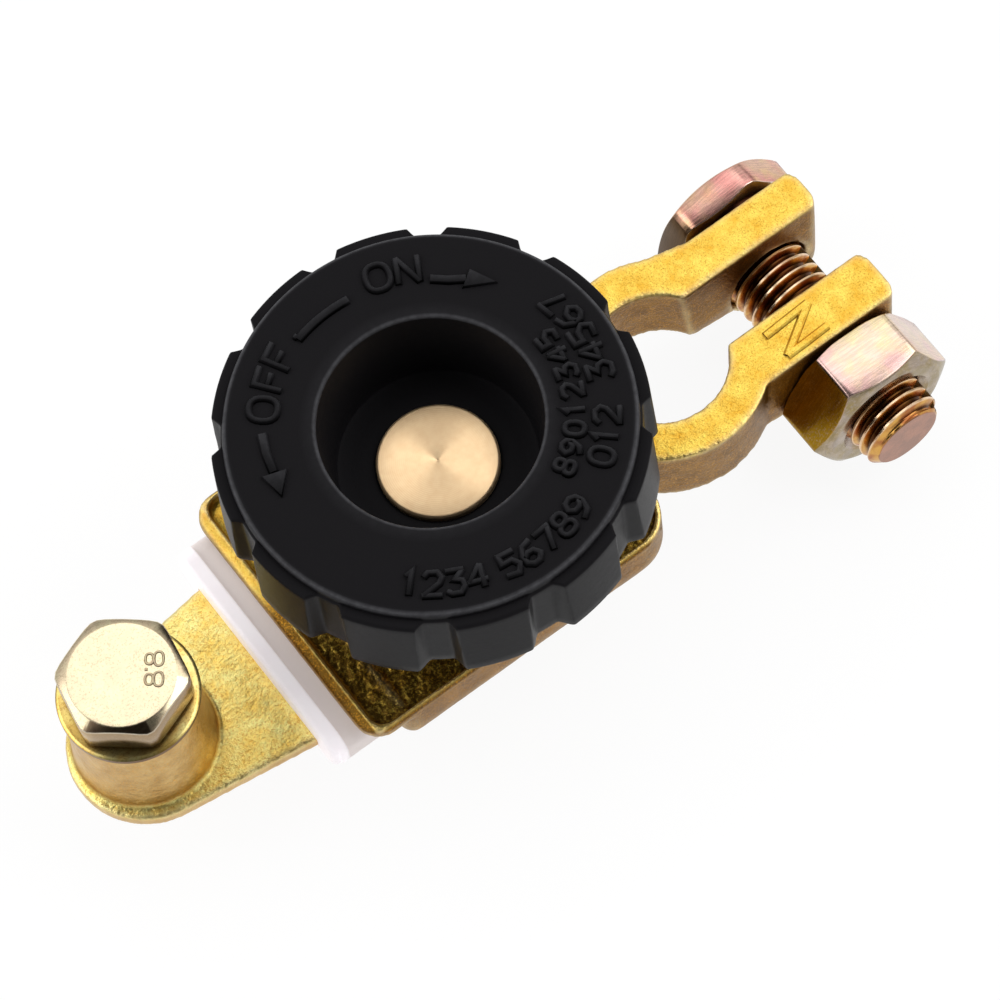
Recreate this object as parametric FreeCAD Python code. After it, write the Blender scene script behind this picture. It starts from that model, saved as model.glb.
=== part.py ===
import FreeCAD, Part
import math
import os

from FreeCAD import Vector

# Battery terminal disconnect switch, in millimetres.
# The origin is on the knob's axis, in the plane of the post clamp's underside.
# +X runs from the knob to the battery post, +Z up the knob's axis.
# The knob is drawn unscrewed, as it stands with the circuit open.

# Terminal casting: tray, skirt and boss
tray_left = -22.75
tray_right = 18.8
tray_half_width = 17.3
casting_top = 9.3
tray_rim_width = 0.7
tray_rim_left = 1.55
tray_rim_depth = 0.9
tray_floor_step = 0.5
tray_floor_step_x = -17.2
tray_corner_left = 3.0
recess_corner_left = 1.8
rim_slope_left = 1.3
rim_slope_left_drop = 0.55
rim_slope_side = 0.35
tray_corner_right = 5.0
lip_underside = 7.5
skirt_left = -18.0
skirt_end_radius = 1.5
skirt_edge_radius = 4.5
boss_radius = 10.0
boss_rise = 4.9
boss_draft = 0.6
boss_mouth = 0.6

# Post clamp: ring, ears and slot
post_x = 28.9
post_y = -0.25
post_bore_radius = 7.7
post_relief = 0.4
ring_radius = 12.35
neck_half_width = 9.0
ear_near_inner = 3.5
ear_near_outer = 10.0
ear_far_inner = 4.0
ear_far_outer = 9.3
ear_draft = 0.6
ear_seat_cut = 0.1
ear_step_x = 35.0
ear_step_drop = 0.5
ear_step_run = 0.6
ear_foot_drop = 3.05
ear_tip_radius = 2.4
ear_lug_radius = 6.7
ear_tip_reach = 7.7
ear_web_radius = 12.0
clamp_bolt_x = 46.9
clamp_bolt_z = 0.7
clamp_hole_radius = 5.3

# Insulating sleeve and the pocket that holds it
pocket_half_width = 14.2
pocket_right = 13.5
pocket_floor = 1.3
pocket_height = 5.2
pocket_corner = 1.2
sleeve_clearance = 0.05
sleeve_left = -26.5
collar_left = -24.6
collar_half_width = 15.0
collar_top = 7.0
collar_underside = 1.4
collar_corner = 1.8
flange_half_width = 14.9
flange_top = 7.4
flange_corner = 2.2
flange_edge = 0.6
sleeve_window_radius = 7.2

# Cable plate with its stud boss
plate_thickness = 1.9
plate_y = -0.4
plate_underside = 2.55
plate_half_width = 11.3
plate_right = 11.0
plate_taper_start = -26.0
plate_fit = 0.04
plate_end_x = -41.1
cable_boss_offset = -0.05
cable_boss_aside = 0.5
plate_end_radius = 9.1
cable_boss_height = 12.65
cable_boss_base_radius = 8.05
cable_boss_top_radius = 7.1
cable_boss_fillet = 0.6
cable_hole_depth = 13.5

# Cable bolt, M8, and its washer
cable_bolt_radius = 4.0
cable_bolt_length = 13.2
cable_head_across_flats = 13.0
cable_head_height = 4.4
cable_head_washer_radius = 6.0
cable_head_washer = 0.7
cable_head_face = 0.455
cable_head_turn = 20.5
washer_radius = 7.8
washer_bore_radius = 4.2
washer_thickness = 1.0
thread_fit = 0.05

# Both hexagon heads: slope of the turned top, and what is left of the corners
head_slope = 0.5
head_corner = 0.553

# Clamp bolt, M10, and its nut
clamp_bolt_radius = 5.0
clamp_bolt_end = 11.15
clamp_head_across_flats = 16.0
clamp_head_height = 4.6
clamp_head_face = 0.44
clamp_head_turn = -2.5
clamp_head_washer_radius = 7.4
clamp_head_washer = 0.5
nut_across_flats = 16.3
nut_face = 0.46
nut_slope = 0.6
nut_corner = 0.57
nut_foot_chamfer = 0.45
nut_height = 7.3
nut_turn = -2.5
nut_fit = 0.05

# Knob: lobed grip, dished top and hub
knob_height = 12.0
knob_lift = 20.0
knob_disc_radius = 22.1
knob_disc_rise = 1.1
knob_disc_edge = 0.8
lobe_count = 12
lobe_turn = 10.0
lobe_radius = 23.8
lobe_half_angle = 8.8
lobe_taper = 0.4
lobe_corner = 0.5
flute_radius = 22.35
flute_half_angle = 3.4
dish_mouth_radius = 12.1
dish_floor_radius = 11.0
dish_depth = 11.2
dish_lip = 0.5
hub_radius = 9.4
hub_drop = 2.8
knob_wall = 2.3
knob_web = 2.0
knob_dish_wall = 1.9
knob_rib_count = 6
knob_rib_width = 1.4

# Stud moulded into the knob, M12, and the contact pad on its tip
stud_head_radius = 6.7
stud_head_proud = 0.8
stud_head_chamfer = 0.3
stud_groove_depth = 0.8
stud_groove_width = 1.4
stud_radius = 6.0
stud_fit = 0.05
stud_chamfer = 0.8
pad_radius = 4.6
pad_thickness = 1.6
pad_pin_radius = 2.4
pad_pin_length = 1.0
pad_pin_fit = 0.04

# Travel: the knob screws down this far to close the circuit
thread_lead = 1.75
turns_to_close = 1.5
closed_clearance = 0.05

# Worked-out places
plate_top = plate_underside + plate_thickness
pocket_top = pocket_floor + pocket_height
boss_top = casting_top + boss_rise
closing_travel = thread_lead * turns_to_close
pad_underside = plate_top + closing_travel + closed_clearance
stud_tip = pad_underside + pad_thickness
knob_bottom = knob_lift
knob_top = knob_lift + knob_height
dish_floor = knob_top - dish_depth
stud_head_top = dish_floor + stud_head_proud
hub_bottom = knob_bottom - hub_drop
cable_x = plate_end_x + cable_boss_offset
cable_y = plate_y + cable_boss_aside
cable_boss_top = plate_top + cable_boss_height
washer_top = cable_boss_top + washer_thickness
ear_tip_x = clamp_bolt_x + ear_tip_reach
ear_lug_x = ear_tip_x - ear_lug_radius
near_seat_y = -(ear_near_outer + ear_draft - ear_seat_cut)
far_seat_y = ear_far_outer + ear_draft - ear_seat_cut

X_AXIS = Vector(1, 0, 0)
Y_AXIS = Vector(0, 1, 0)
Z_AXIS = Vector(0, 0, 1)


def cylinder(radius, low, high, x=0.0, y=0.0):
    """A cylinder about a vertical line."""
    return Part.makeCylinder(radius, high - low, Vector(x, y, low))


def block(x0, x1, y0, y1, z0, z1):
    """A box between two corners."""
    return Part.makeBox(x1 - x0, y1 - y0, z1 - z0, Vector(x0, y0, z0))


def face_of(edges):
    return Part.Face(Part.Wire(Part.__sortEdges__(edges)))


def revolved(profile):
    """Turn a closed (radius, height) outline about the Z axis."""
    points = [Vector(r, 0, z) for r, z in profile]
    outline = Part.makePolygon(points + points[:1])
    return Part.Face(outline).revolve(Vector(0, 0, 0), Z_AXIS, 360)


def prism(points, direction):
    """Extrude a closed outline of points."""
    return Part.Face(Part.makePolygon(points + points[:1])).extrude(direction)


def rounded_plate(x0, x1, half_width, z0, z1, left_radius, right_radius):
    """A plate with its four upright corners rounded."""
    solid = block(x0, x1, -half_width, half_width, z0, z1)
    upright = [e for e in solid.Edges if abs(e.tangentAt(e.FirstParameter).z) > 0.99]
    left = [e for e in upright if e.BoundBox.XMax < (x0 + x1) / 2]
    right = [e for e in upright if e.BoundBox.XMin > (x0 + x1) / 2]
    if left_radius > 0:
        solid = solid.makeFillet(left_radius, left)
        upright = [e for e in solid.Edges if abs(e.tangentAt(e.FirstParameter).z) > 0.99]
        right = [e for e in upright if e.BoundBox.XMin > x1 - 0.01]
    if right_radius > 0:
        solid = solid.makeFillet(right_radius, right)
    return solid


def hexagon(across_flats, height, turn):
    """A hexagonal prism about Z, standing on the origin."""
    corner = across_flats / math.sqrt(3)
    angles = [math.radians(turn + 60 * i) for i in range(6)]
    points = [Vector(corner * math.cos(a), corner * math.sin(a), 0) for a in angles]
    return prism(points, Vector(0, 0, height))


def chamfered_hexagon(across_flats, height, turn, face_radius, slope, corner_radius, foot_chamfer=0.0):
    """A hexagonal head whose corners are turned off, on top and a little at its foot."""
    drop = (corner_radius - face_radius) * slope
    foot = [(corner_radius - 2 * foot_chamfer, 0)] if foot_chamfer > 0 else []
    bell = revolved([(0, 0)] + foot + [(corner_radius, foot_chamfer), (corner_radius, height - drop),
                                       (face_radius, height), (0, height)])
    return hexagon(across_flats, height, turn).common(bell)


def along_y(shape, y, x, z, towards_minus):
    """Lay a shape built about Z along Y, with its base at y."""
    laid = shape.copy()
    laid.rotate(Vector(0, 0, 0), X_AXIS, 90 if towards_minus else -90)
    laid.translate(Vector(x, y, z))
    return laid


def upright_edges(shape):
    """The vertical straight edges of a shape."""
    return [e for e in shape.Edges
            if e.Curve.TypeId == "Part::GeomLine" and abs(e.tangentAt(e.FirstParameter).z) > 0.99]


def lengthwise_edges(shape):
    """The straight edges that run along X."""
    return [e for e in shape.Edges
            if e.Curve.TypeId == "Part::GeomLine" and abs(e.tangentAt(e.FirstParameter).x) > 0.99]


def casting_skirt():
    """The box under the tray, round along its lower edges."""
    skirt = block(skirt_left, tray_right, -tray_half_width, tray_half_width, 0, casting_top)
    right = [e for e in upright_edges(skirt) if e.BoundBox.XMin > 0]
    skirt = skirt.makeFillet(tray_corner_right, right)
    low = [e for e in skirt.Edges if e.BoundBox.ZMax < 0.01 and e.BoundBox.XMax > skirt_left + 0.01]
    skirt = skirt.makeFillet(skirt_edge_radius, low)
    ends = [e for e in upright_edges(skirt) if e.BoundBox.XMax < skirt_left + 0.01]
    return skirt.makeFillet(skirt_end_radius, ends)


def rim_slopes():
    """What comes off the outer edges of the tray's rim: left, near and far."""
    x, run, drop = tray_left, rim_slope_left, rim_slope_left_drop
    low, high, side = casting_top - 2 * drop, casting_top + 1, rim_slope_side
    wide = 2 * tray_half_width
    left = prism([Vector(x - run, -wide / 2, low), Vector(x + run, -wide / 2, casting_top),
                  Vector(x + run, -wide / 2, high), Vector(x - run, -wide / 2, high)],
                 Vector(0, wide, 0))
    slopes = [left]
    for sign in (-1, 1):
        outer, inner = sign * (tray_half_width + side), sign * (tray_half_width - side)
        slopes.append(prism([Vector(x, outer, casting_top - 2 * side), Vector(x, inner, casting_top),
                             Vector(x, inner, high), Vector(x, outer, high)],
                            Vector(tray_right - tray_left, 0, 0)))
    return slopes


def casting_tray():
    """The tray, its recessed floor, the skirt and the tapped boss."""
    tray = rounded_plate(tray_left, tray_right, tray_half_width, lip_underside, casting_top,
                         tray_corner_left, tray_corner_right)
    body = tray.fuse(casting_skirt()).cut(rim_slopes())
    floor_z = casting_top - tray_rim_depth
    inner_half = tray_half_width - tray_rim_width
    recess = rounded_plate(tray_left + tray_rim_left, tray_right - tray_rim_width, inner_half,
                           floor_z, casting_top + 1,
                           recess_corner_left, tray_corner_right - tray_rim_width)
    deeper = rounded_plate(tray_floor_step_x, tray_right - tray_rim_width, inner_half,
                           floor_z - tray_floor_step, casting_top + 1,
                           0, tray_corner_right - tray_rim_width)
    body = body.cut(recess).cut(deeper)
    boss = Part.makeCone(boss_radius + boss_draft, boss_radius, boss_top - pocket_top,
                         Vector(0, 0, pocket_top))
    return body.fuse(boss)


def sleeve_pocket():
    """The space under the tray that takes the insulating sleeve."""
    pocket = block(skirt_left - 1, pocket_right, -pocket_half_width, pocket_half_width,
                   pocket_floor, pocket_top)
    along = [e for e in pocket.Edges if abs(e.tangentAt(e.FirstParameter).x) > 0.99]
    return pocket.makeFillet(pocket_corner, along)


def ear_section(inner, outer, side):
    """An ear's cross-section: drafted both ways from the parting plane."""
    foot = clamp_bolt_z - ear_lug_radius
    return [
        Vector(post_x, side * inner, casting_top),
        Vector(post_x, side * outer, casting_top),
        Vector(post_x, side * (outer + ear_draft), clamp_bolt_z),
        Vector(post_x, side * outer, foot),
        Vector(post_x, side * inner, foot),
        Vector(post_x, side * (inner - ear_draft), clamp_bolt_z),
    ]


def ear_side_view():
    """Both ears seen from the side: a step, a sloping foot and a round lug."""
    width = 2 * tray_half_width
    outline = [
        Vector(post_x, 0, casting_top),
        Vector(post_x, 0, 0),
        Vector(ear_step_x, 0, 0),
        Vector(ear_step_x + ear_step_run, 0, -ear_step_drop),
        Vector(ear_lug_x, 0, -ear_foot_drop),
        Vector(ear_lug_x, 0, casting_top),
    ]
    web = prism(outline, Vector(0, width, 0))
    lug = Part.makeCylinder(ear_lug_radius, width, Vector(ear_lug_x, 0, clamp_bolt_z), Y_AXIS)
    tip = block(ear_lug_x, ear_tip_x, 0, width, clamp_bolt_z, casting_top)
    view = web.fuse([lug, tip])
    view.translate(Vector(0, -tray_half_width, 0))
    return view


def clamp_ear(inner, outer, side):
    """One ear of the clamp, with a flat seat for the head or nut."""
    bar = prism(ear_section(inner, outer, side), Vector(ear_tip_x - post_x, 0, 0))
    ear = bar.common(ear_side_view())
    low = min(side * (inner - ear_draft), side * (outer + ear_draft))
    high = max(side * (inner - ear_draft), side * (outer + ear_draft))
    plan = block(0, ear_tip_x, low, high, -2 * ear_lug_radius, casting_top)
    corners = [e for e in upright_edges(plan) if e.BoundBox.XMin > 1]
    ear = ear.common(plan.makeFillet(ear_tip_radius, corners))
    seat = side * (outer + ear_draft - ear_seat_cut)
    beyond = block(0, 2 * ear_tip_x, min(seat, 2 * seat), max(seat, 2 * seat),
                   -2 * ear_lug_radius, casting_top)
    return ear.cut(beyond)


def ear_web():
    """The straight web that eases the ring into the far ear's outer side."""
    beyond = ear_far_outer + ear_web_radius
    reach = math.sqrt((ring_radius + ear_web_radius) ** 2 - (beyond - post_y) ** 2)
    share = ring_radius / (ring_radius + ear_web_radius)
    on_ring = Vector(post_x + reach * share, post_y + (beyond - post_y) * share, 0)
    on_ear = Vector(post_x + reach, ear_far_outer, 0)
    inside = Vector((on_ring.x + on_ear.x) / 2, ear_far_outer - 2 * ear_draft, 0)
    return prism([on_ring, on_ear, inside], Vector(0, 0, casting_top))


def clamp_slot():
    """The gap between the ears, which runs into the post bore."""
    gap = [
        Vector(post_x, -ear_near_inner, casting_top + 1),
        Vector(post_x, -ear_near_inner, casting_top),
        Vector(post_x, ear_draft - ear_near_inner, clamp_bolt_z),
        Vector(post_x, -ear_near_inner, clamp_bolt_z - ear_lug_radius),
        Vector(post_x, ear_far_inner, clamp_bolt_z - ear_lug_radius),
        Vector(post_x, ear_far_inner - ear_draft, clamp_bolt_z),
        Vector(post_x, ear_far_inner, casting_top),
        Vector(post_x, ear_far_inner, casting_top + 1),
    ]
    return prism(gap, Vector(ear_tip_x - post_x, 0, 0))


def post_clamp():
    """The split ring with its two ears and the neck that joins it to the tray."""
    ring = cylinder(ring_radius, 0, casting_top, post_x, post_y)
    neck = block(tray_right - 1, post_x, post_y - neck_half_width, post_y + neck_half_width,
                 0, casting_top)
    inside_rim = tray_right - tray_rim_width
    ring = ring.cut(block(0, inside_rim, -ring_radius, ring_radius, -1, casting_top + 1))
    clamp = ring.fuse([neck, clamp_ear(ear_near_inner, ear_near_outer, -1),
                       clamp_ear(ear_far_inner, ear_far_outer, 1),
                       ear_web()])
    clamp = clamp.cut(cylinder(post_bore_radius, -1, casting_top + 1, post_x, post_y))
    clamp = clamp.cut(cylinder(post_bore_radius + post_relief, -2 * ear_lug_radius, 0, post_x, post_y))
    clamp = clamp.cut(clamp_slot())
    bolt_way = Part.makeCylinder(clamp_hole_radius, 4 * ear_near_outer,
                                 Vector(clamp_bolt_x, 2 * ear_near_outer, clamp_bolt_z), -Y_AXIS)
    return clamp.cut(bolt_way)


def terminal_casting():
    """The brass casting: tray, sleeve housing and split post clamp in one piece."""
    body = casting_tray().fuse(post_clamp())
    body = body.cut(sleeve_pocket())
    bore = stud_radius + stud_fit
    body = body.cut(cylinder(bore, pocket_top - 1, boss_top + 1))
    body = body.cut(Part.makeCone(bore, bore + boss_mouth, boss_mouth,
                                  Vector(0, 0, boss_top - boss_mouth)))
    return body.removeSplitter()


def insulator_sleeve():
    """The nylon sleeve: a body in the pocket, a collar outside it and an end flange."""
    gap = sleeve_clearance
    half = pocket_half_width - gap
    body = block(skirt_left - 1, pocket_right - gap, -half, half, pocket_floor + gap, pocket_top - gap)
    body = body.makeFillet(pocket_corner, lengthwise_edges(body))

    collar = block(collar_left - 1, skirt_left - gap, -collar_half_width, collar_half_width,
                   collar_underside, collar_top)
    collar = collar.makeFillet(collar_corner, lengthwise_edges(collar))

    flange = block(sleeve_left, collar_left, -flange_half_width, flange_half_width,
                   collar_underside, flange_top)
    flange = flange.makeFillet(flange_corner, lengthwise_edges(flange))
    outer = [e for e in flange.Edges if e.BoundBox.XMax < sleeve_left + 0.01]
    flange = flange.makeFillet(flange_edge, outer)

    sleeve = body.fuse([collar, flange])
    slot_half = plate_half_width + plate_fit
    slot = block(sleeve_left - 1, plate_right + plate_fit, plate_y - slot_half, plate_y + slot_half,
                 plate_underside - plate_fit, plate_top + plate_fit)
    sleeve = sleeve.cut(slot)
    window = cylinder(sleeve_window_radius, plate_top, pocket_top + 1)
    return sleeve.cut(window).removeSplitter()


def plate_outline():
    """The cable plate seen from above, tapering to its round end."""
    reach = math.hypot(plate_taper_start - plate_end_x, plate_half_width)
    lean = math.atan2(plate_half_width, plate_taper_start - plate_end_x)
    touch = lean + math.acos(plate_end_radius / reach)
    tangent_x = plate_end_x + plate_end_radius * math.cos(touch)
    tangent_y = plate_end_radius * math.sin(touch)
    far = [Vector(plate_right, plate_half_width, 0), Vector(plate_taper_start, plate_half_width, 0),
           Vector(tangent_x, tangent_y, 0)]
    near = [Vector(p.x, -p.y, 0) for p in far]
    end = Part.Arc(far[2], Vector(plate_end_x - plate_end_radius, 0, 0), near[2]).toShape()
    edges = [Part.makeLine(far[0], far[1]), Part.makeLine(far[1], far[2]), end,
             Part.makeLine(near[2], near[1]), Part.makeLine(near[1], near[0]),
             Part.makeLine(near[0], far[0])]
    return face_of(edges)


def cable_plate():
    """The brass plate that carries the cable, with its tapped boss."""
    plate = plate_outline().extrude(Vector(0, 0, plate_thickness))
    plate.translate(Vector(0, plate_y, plate_underside))
    boss = Part.makeCone(cable_boss_base_radius, cable_boss_top_radius, cable_boss_height,
                         Vector(cable_x, cable_y, plate_top))
    body = plate.fuse(boss)
    root = [e for e in body.Edges
            if e.Curve.TypeId == "Part::GeomCircle"
            and abs(e.Curve.Radius - cable_boss_base_radius) < 0.01
            and abs(e.BoundBox.ZMin - plate_top) < 0.01]
    body = body.makeFillet(cable_boss_fillet, root)
    hole = cylinder(cable_bolt_radius + thread_fit, cable_boss_top - cable_hole_depth,
                    cable_boss_top + 1, cable_x, cable_y)
    return body.cut(hole)


def cable_bolt():
    """M8 hexagon bolt that clamps the cable's ring terminal on the boss."""
    head = chamfered_hexagon(cable_head_across_flats, cable_head_height, cable_head_turn,
                             cable_head_face * cable_head_across_flats, head_slope,
                             head_corner * cable_head_across_flats)
    head.translate(Vector(0, 0, cable_head_washer))
    head = head.fuse(Part.makeCylinder(cable_head_washer_radius, 2 * cable_head_washer))
    head.translate(Vector(cable_x, cable_y, washer_top))
    shank = cylinder(cable_bolt_radius, washer_top - cable_bolt_length, washer_top, cable_x, cable_y)
    tip = [e for e in shank.Edges if e.BoundBox.ZMax < washer_top - cable_bolt_length + 0.01]
    shank = shank.makeChamfer(0.7, tip)
    return head.fuse(shank).removeSplitter()


def cable_washer():
    ring = cylinder(washer_radius, cable_boss_top, washer_top, cable_x, cable_y)
    return ring.cut(cylinder(washer_bore_radius, cable_boss_top - 1, washer_top + 1, cable_x, cable_y))


def clamp_bolt():
    """M10 bolt that closes the post clamp, head on the far ear."""
    head = chamfered_hexagon(clamp_head_across_flats, clamp_head_height, clamp_head_turn,
                             clamp_head_face * clamp_head_across_flats, head_slope,
                             head_corner * clamp_head_across_flats)
    head.translate(Vector(0, 0, clamp_head_washer))
    head = head.fuse(Part.makeCylinder(clamp_head_washer_radius, 2 * clamp_head_washer))
    head = along_y(head, far_seat_y, clamp_bolt_x, clamp_bolt_z, False)
    length = far_seat_y - near_seat_y + clamp_bolt_end
    shank = Part.makeCylinder(clamp_bolt_radius, length)
    tip = [e for e in shank.Edges if e.BoundBox.ZMin > length - 0.01]
    shank = shank.makeChamfer(0.8, tip)
    shank = along_y(shank, far_seat_y, clamp_bolt_x, clamp_bolt_z, True)
    return head.fuse(shank).removeSplitter()


def clamp_nut():
    nut = chamfered_hexagon(nut_across_flats, nut_height, nut_turn, nut_face * nut_across_flats,
                            nut_slope, nut_corner * nut_across_flats, nut_foot_chamfer)
    nut = nut.cut(Part.makeCylinder(clamp_bolt_radius + nut_fit, nut_height + 2, Vector(0, 0, -1)))
    return along_y(nut, near_seat_y, clamp_bolt_x, clamp_bolt_z, True)


def lobed_outline():
    """The grip seen from above: broad lobes with shallow flutes between."""
    def at(radius, degrees):
        a = math.radians(degrees)
        return Vector(radius * math.cos(a), radius * math.sin(a), knob_bottom)

    pitch = 360 / lobe_count
    edges = []
    for i in range(lobe_count):
        lobe = lobe_turn + i * pitch
        flute = lobe + pitch / 2
        rise = at(lobe_radius, lobe - lobe_half_angle)
        fall = at(lobe_radius, lobe + lobe_half_angle)
        floor_start = at(flute_radius, flute - flute_half_angle)
        floor_end = at(flute_radius, flute + flute_half_angle)
        next_rise = at(lobe_radius, lobe + pitch - lobe_half_angle)
        edges.append(Part.Arc(rise, at(lobe_radius, lobe), fall).toShape())
        edges.append(Part.makeLine(fall, floor_start))
        edges.append(Part.Arc(floor_start, at(flute_radius, flute), floor_end).toShape())
        edges.append(Part.makeLine(floor_end, next_rise))
    return Part.Wire(edges)


def knob_grip():
    """The lobed skirt: drafted on the lobes, with eased corners and crests."""
    height = knob_height - knob_disc_rise
    grip = Part.Face(lobed_outline()).extrude(Vector(0, 0, height))
    corners = [e for e in upright_edges(grip)
               if math.hypot(e.Vertexes[0].X, e.Vertexes[0].Y) > lobe_radius - 0.01]
    grip = grip.makeFillet(lobe_corner, corners)
    draft = Part.makeCone(lobe_radius + 0.01, lobe_radius - lobe_taper, height, Vector(0, 0, knob_bottom))
    return grip.common(draft)


def knob():
    """The moulded knob: lobed skirt, raised disc, dished centre, ribbed underside."""
    grip = knob_grip()
    disc = cylinder(knob_disc_radius, knob_bottom + 1, knob_top)
    disc = disc.makeFillet(knob_disc_edge, [e for e in disc.Edges if e.BoundBox.ZMin > knob_top - 0.01])
    body = grip.fuse(disc)
    body = body.fuse(cylinder(hub_radius, hub_bottom, knob_bottom + 1))

    dish = revolved([(0, dish_floor), (dish_floor_radius, dish_floor), (dish_mouth_radius, knob_top),
                     (dish_mouth_radius + dish_lip, knob_top + dish_lip), (0, knob_top + dish_lip)])
    body = body.cut(dish)
    lip = [e for e in body.Edges
           if e.Curve.TypeId == "Part::GeomCircle"
           and abs(e.Curve.Radius - dish_mouth_radius) < 0.01 and e.BoundBox.ZMin > knob_top - 0.01]
    body = body.makeFillet(dish_lip, lip)

    inner = dish_mouth_radius + knob_dish_wall
    outer = flute_radius - knob_wall
    ceiling = knob_top - knob_web
    hollow = cylinder(outer, knob_bottom - 1, ceiling).cut(cylinder(inner, knob_bottom - 1, ceiling))
    for i in range(knob_rib_count):
        rib = block(inner - 1, outer + 1, -knob_rib_width / 2, knob_rib_width / 2,
                    knob_bottom - 2, ceiling + 1)
        rib.rotate(Vector(0, 0, 0), Z_AXIS, 360 / knob_rib_count * i)
        hollow = hollow.cut(rib)
    body = body.cut(hollow)
    return body.cut(knob_stud_head()).removeSplitter()


def knob_stud_head():
    """The stud's grooved head, which the knob is moulded around."""
    middle = (hub_bottom + stud_head_top) / 2
    waist = stud_head_radius - stud_groove_depth
    half = stud_groove_width / 2
    return revolved([
        (0, hub_bottom), (stud_head_radius, hub_bottom), (stud_head_radius, middle - half),
        (waist, middle - half), (waist, middle + half), (stud_head_radius, middle + half),
        (stud_head_radius, stud_head_top - stud_head_chamfer),
        (stud_head_radius - stud_head_chamfer, stud_head_top), (0, stud_head_top)])


def knob_stud():
    """The brass stud: head in the knob, threaded shank and a pin for the pad."""
    tip_radius = stud_radius - stud_chamfer
    shank = revolved([
        (0, stud_tip), (tip_radius, stud_tip), (stud_radius, stud_tip + stud_chamfer),
        (stud_radius, hub_bottom), (0, hub_bottom)])
    pin = cylinder(pad_pin_radius, stud_tip - pad_pin_length, stud_tip)
    return knob_stud_head().fuse([shank, pin]).removeSplitter()


def contact_pad():
    """The loose brass pad that presses on the cable plate."""
    pad = cylinder(pad_radius, pad_underside, stud_tip)
    pad = pad.makeChamfer(0.3, [e for e in pad.Edges if e.BoundBox.ZMax < pad_underside + 0.01])
    socket = cylinder(pad_pin_radius + pad_pin_fit, stud_tip - pad_pin_length - pad_pin_fit, stud_tip + 1)
    return pad.cut(socket)


PARTS = {
    "terminal_casting": terminal_casting,
    "insulator_sleeve": insulator_sleeve,
    "cable_plate": cable_plate,
    "cable_bolt": cable_bolt,
    "cable_washer": cable_washer,
    "clamp_bolt": clamp_bolt,
    "clamp_nut": clamp_nut,
    "contact_pad": contact_pad,
    "knob_stud": knob_stud,
    "knob": knob,
}


def main():
    os.makedirs("parts", exist_ok=True)
    for name, make in PARTS.items():
        shape = make()
        if len(shape.Solids) != 1 or not shape.isValid():
            raise ValueError(name + " is not one valid solid")
        shape.Solids[0].exportStep("parts/" + name + ".step")


if __name__ == "__main__":
    main()
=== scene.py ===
import logging
import math
from dataclasses import dataclass
from enum import Enum

import bmesh
import bpy
import numpy as np
from mathutils import Matrix, Vector, noise


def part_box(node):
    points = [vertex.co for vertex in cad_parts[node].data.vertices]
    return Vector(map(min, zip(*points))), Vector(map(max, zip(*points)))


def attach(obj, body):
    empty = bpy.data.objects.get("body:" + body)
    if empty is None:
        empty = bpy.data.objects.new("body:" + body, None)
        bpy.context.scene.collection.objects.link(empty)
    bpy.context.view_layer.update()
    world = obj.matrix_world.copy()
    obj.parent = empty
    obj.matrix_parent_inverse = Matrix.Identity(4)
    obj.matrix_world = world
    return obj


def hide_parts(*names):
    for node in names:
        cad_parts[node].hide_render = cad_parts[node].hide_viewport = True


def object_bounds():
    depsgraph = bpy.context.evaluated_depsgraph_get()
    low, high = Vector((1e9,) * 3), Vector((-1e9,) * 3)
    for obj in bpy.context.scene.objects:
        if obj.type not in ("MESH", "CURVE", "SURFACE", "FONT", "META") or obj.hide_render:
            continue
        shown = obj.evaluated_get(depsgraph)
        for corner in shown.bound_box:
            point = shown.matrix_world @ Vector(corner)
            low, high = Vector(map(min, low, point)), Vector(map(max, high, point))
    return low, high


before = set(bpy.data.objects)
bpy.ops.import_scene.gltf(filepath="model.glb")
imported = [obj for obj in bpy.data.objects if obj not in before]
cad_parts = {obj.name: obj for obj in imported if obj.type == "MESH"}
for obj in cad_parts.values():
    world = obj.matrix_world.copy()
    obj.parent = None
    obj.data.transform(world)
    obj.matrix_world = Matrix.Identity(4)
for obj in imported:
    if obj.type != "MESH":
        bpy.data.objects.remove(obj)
CAD_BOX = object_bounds()
LOG = logging.getLogger("disconnect_switch")

# Sizes are in millimetres until a mesh is made
MM = 0.001

# Vertices closer than this become one
MERGE = 0.002

# Edges that turn more than this stay sharp, in degrees
SHARP = 32.0
MARK_SHARP = 50.0

# Height between crossing marks, so that no two share a face
LAYER = 0.02

# The level direction that points away from the photograph's near side
FAR_WAY = (0.617, 0.787)

Point2 = tuple[float, float]
Point3 = tuple[float, float, float]
Colour = tuple[float, float, float]


# Shared mesh work

def new_object(name: str, mesh: bpy.types.Mesh) -> bpy.types.Object:
    """Links a mesh to the scene.

    Args:
        name: The object's name.
        mesh: Its mesh.

    Returns:
        The new object.
    """
    made = bpy.data.objects.new(name, mesh)
    bpy.context.scene.collection.objects.link(made)
    return made


def shade(mesh: bpy.types.Mesh, sharp_deg: float) -> None:
    """Smooths a mesh, apart from its sharp edges."""
    mesh.shade_smooth()
    mesh.set_sharp_from_angle(angle=math.radians(sharp_deg))


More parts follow.
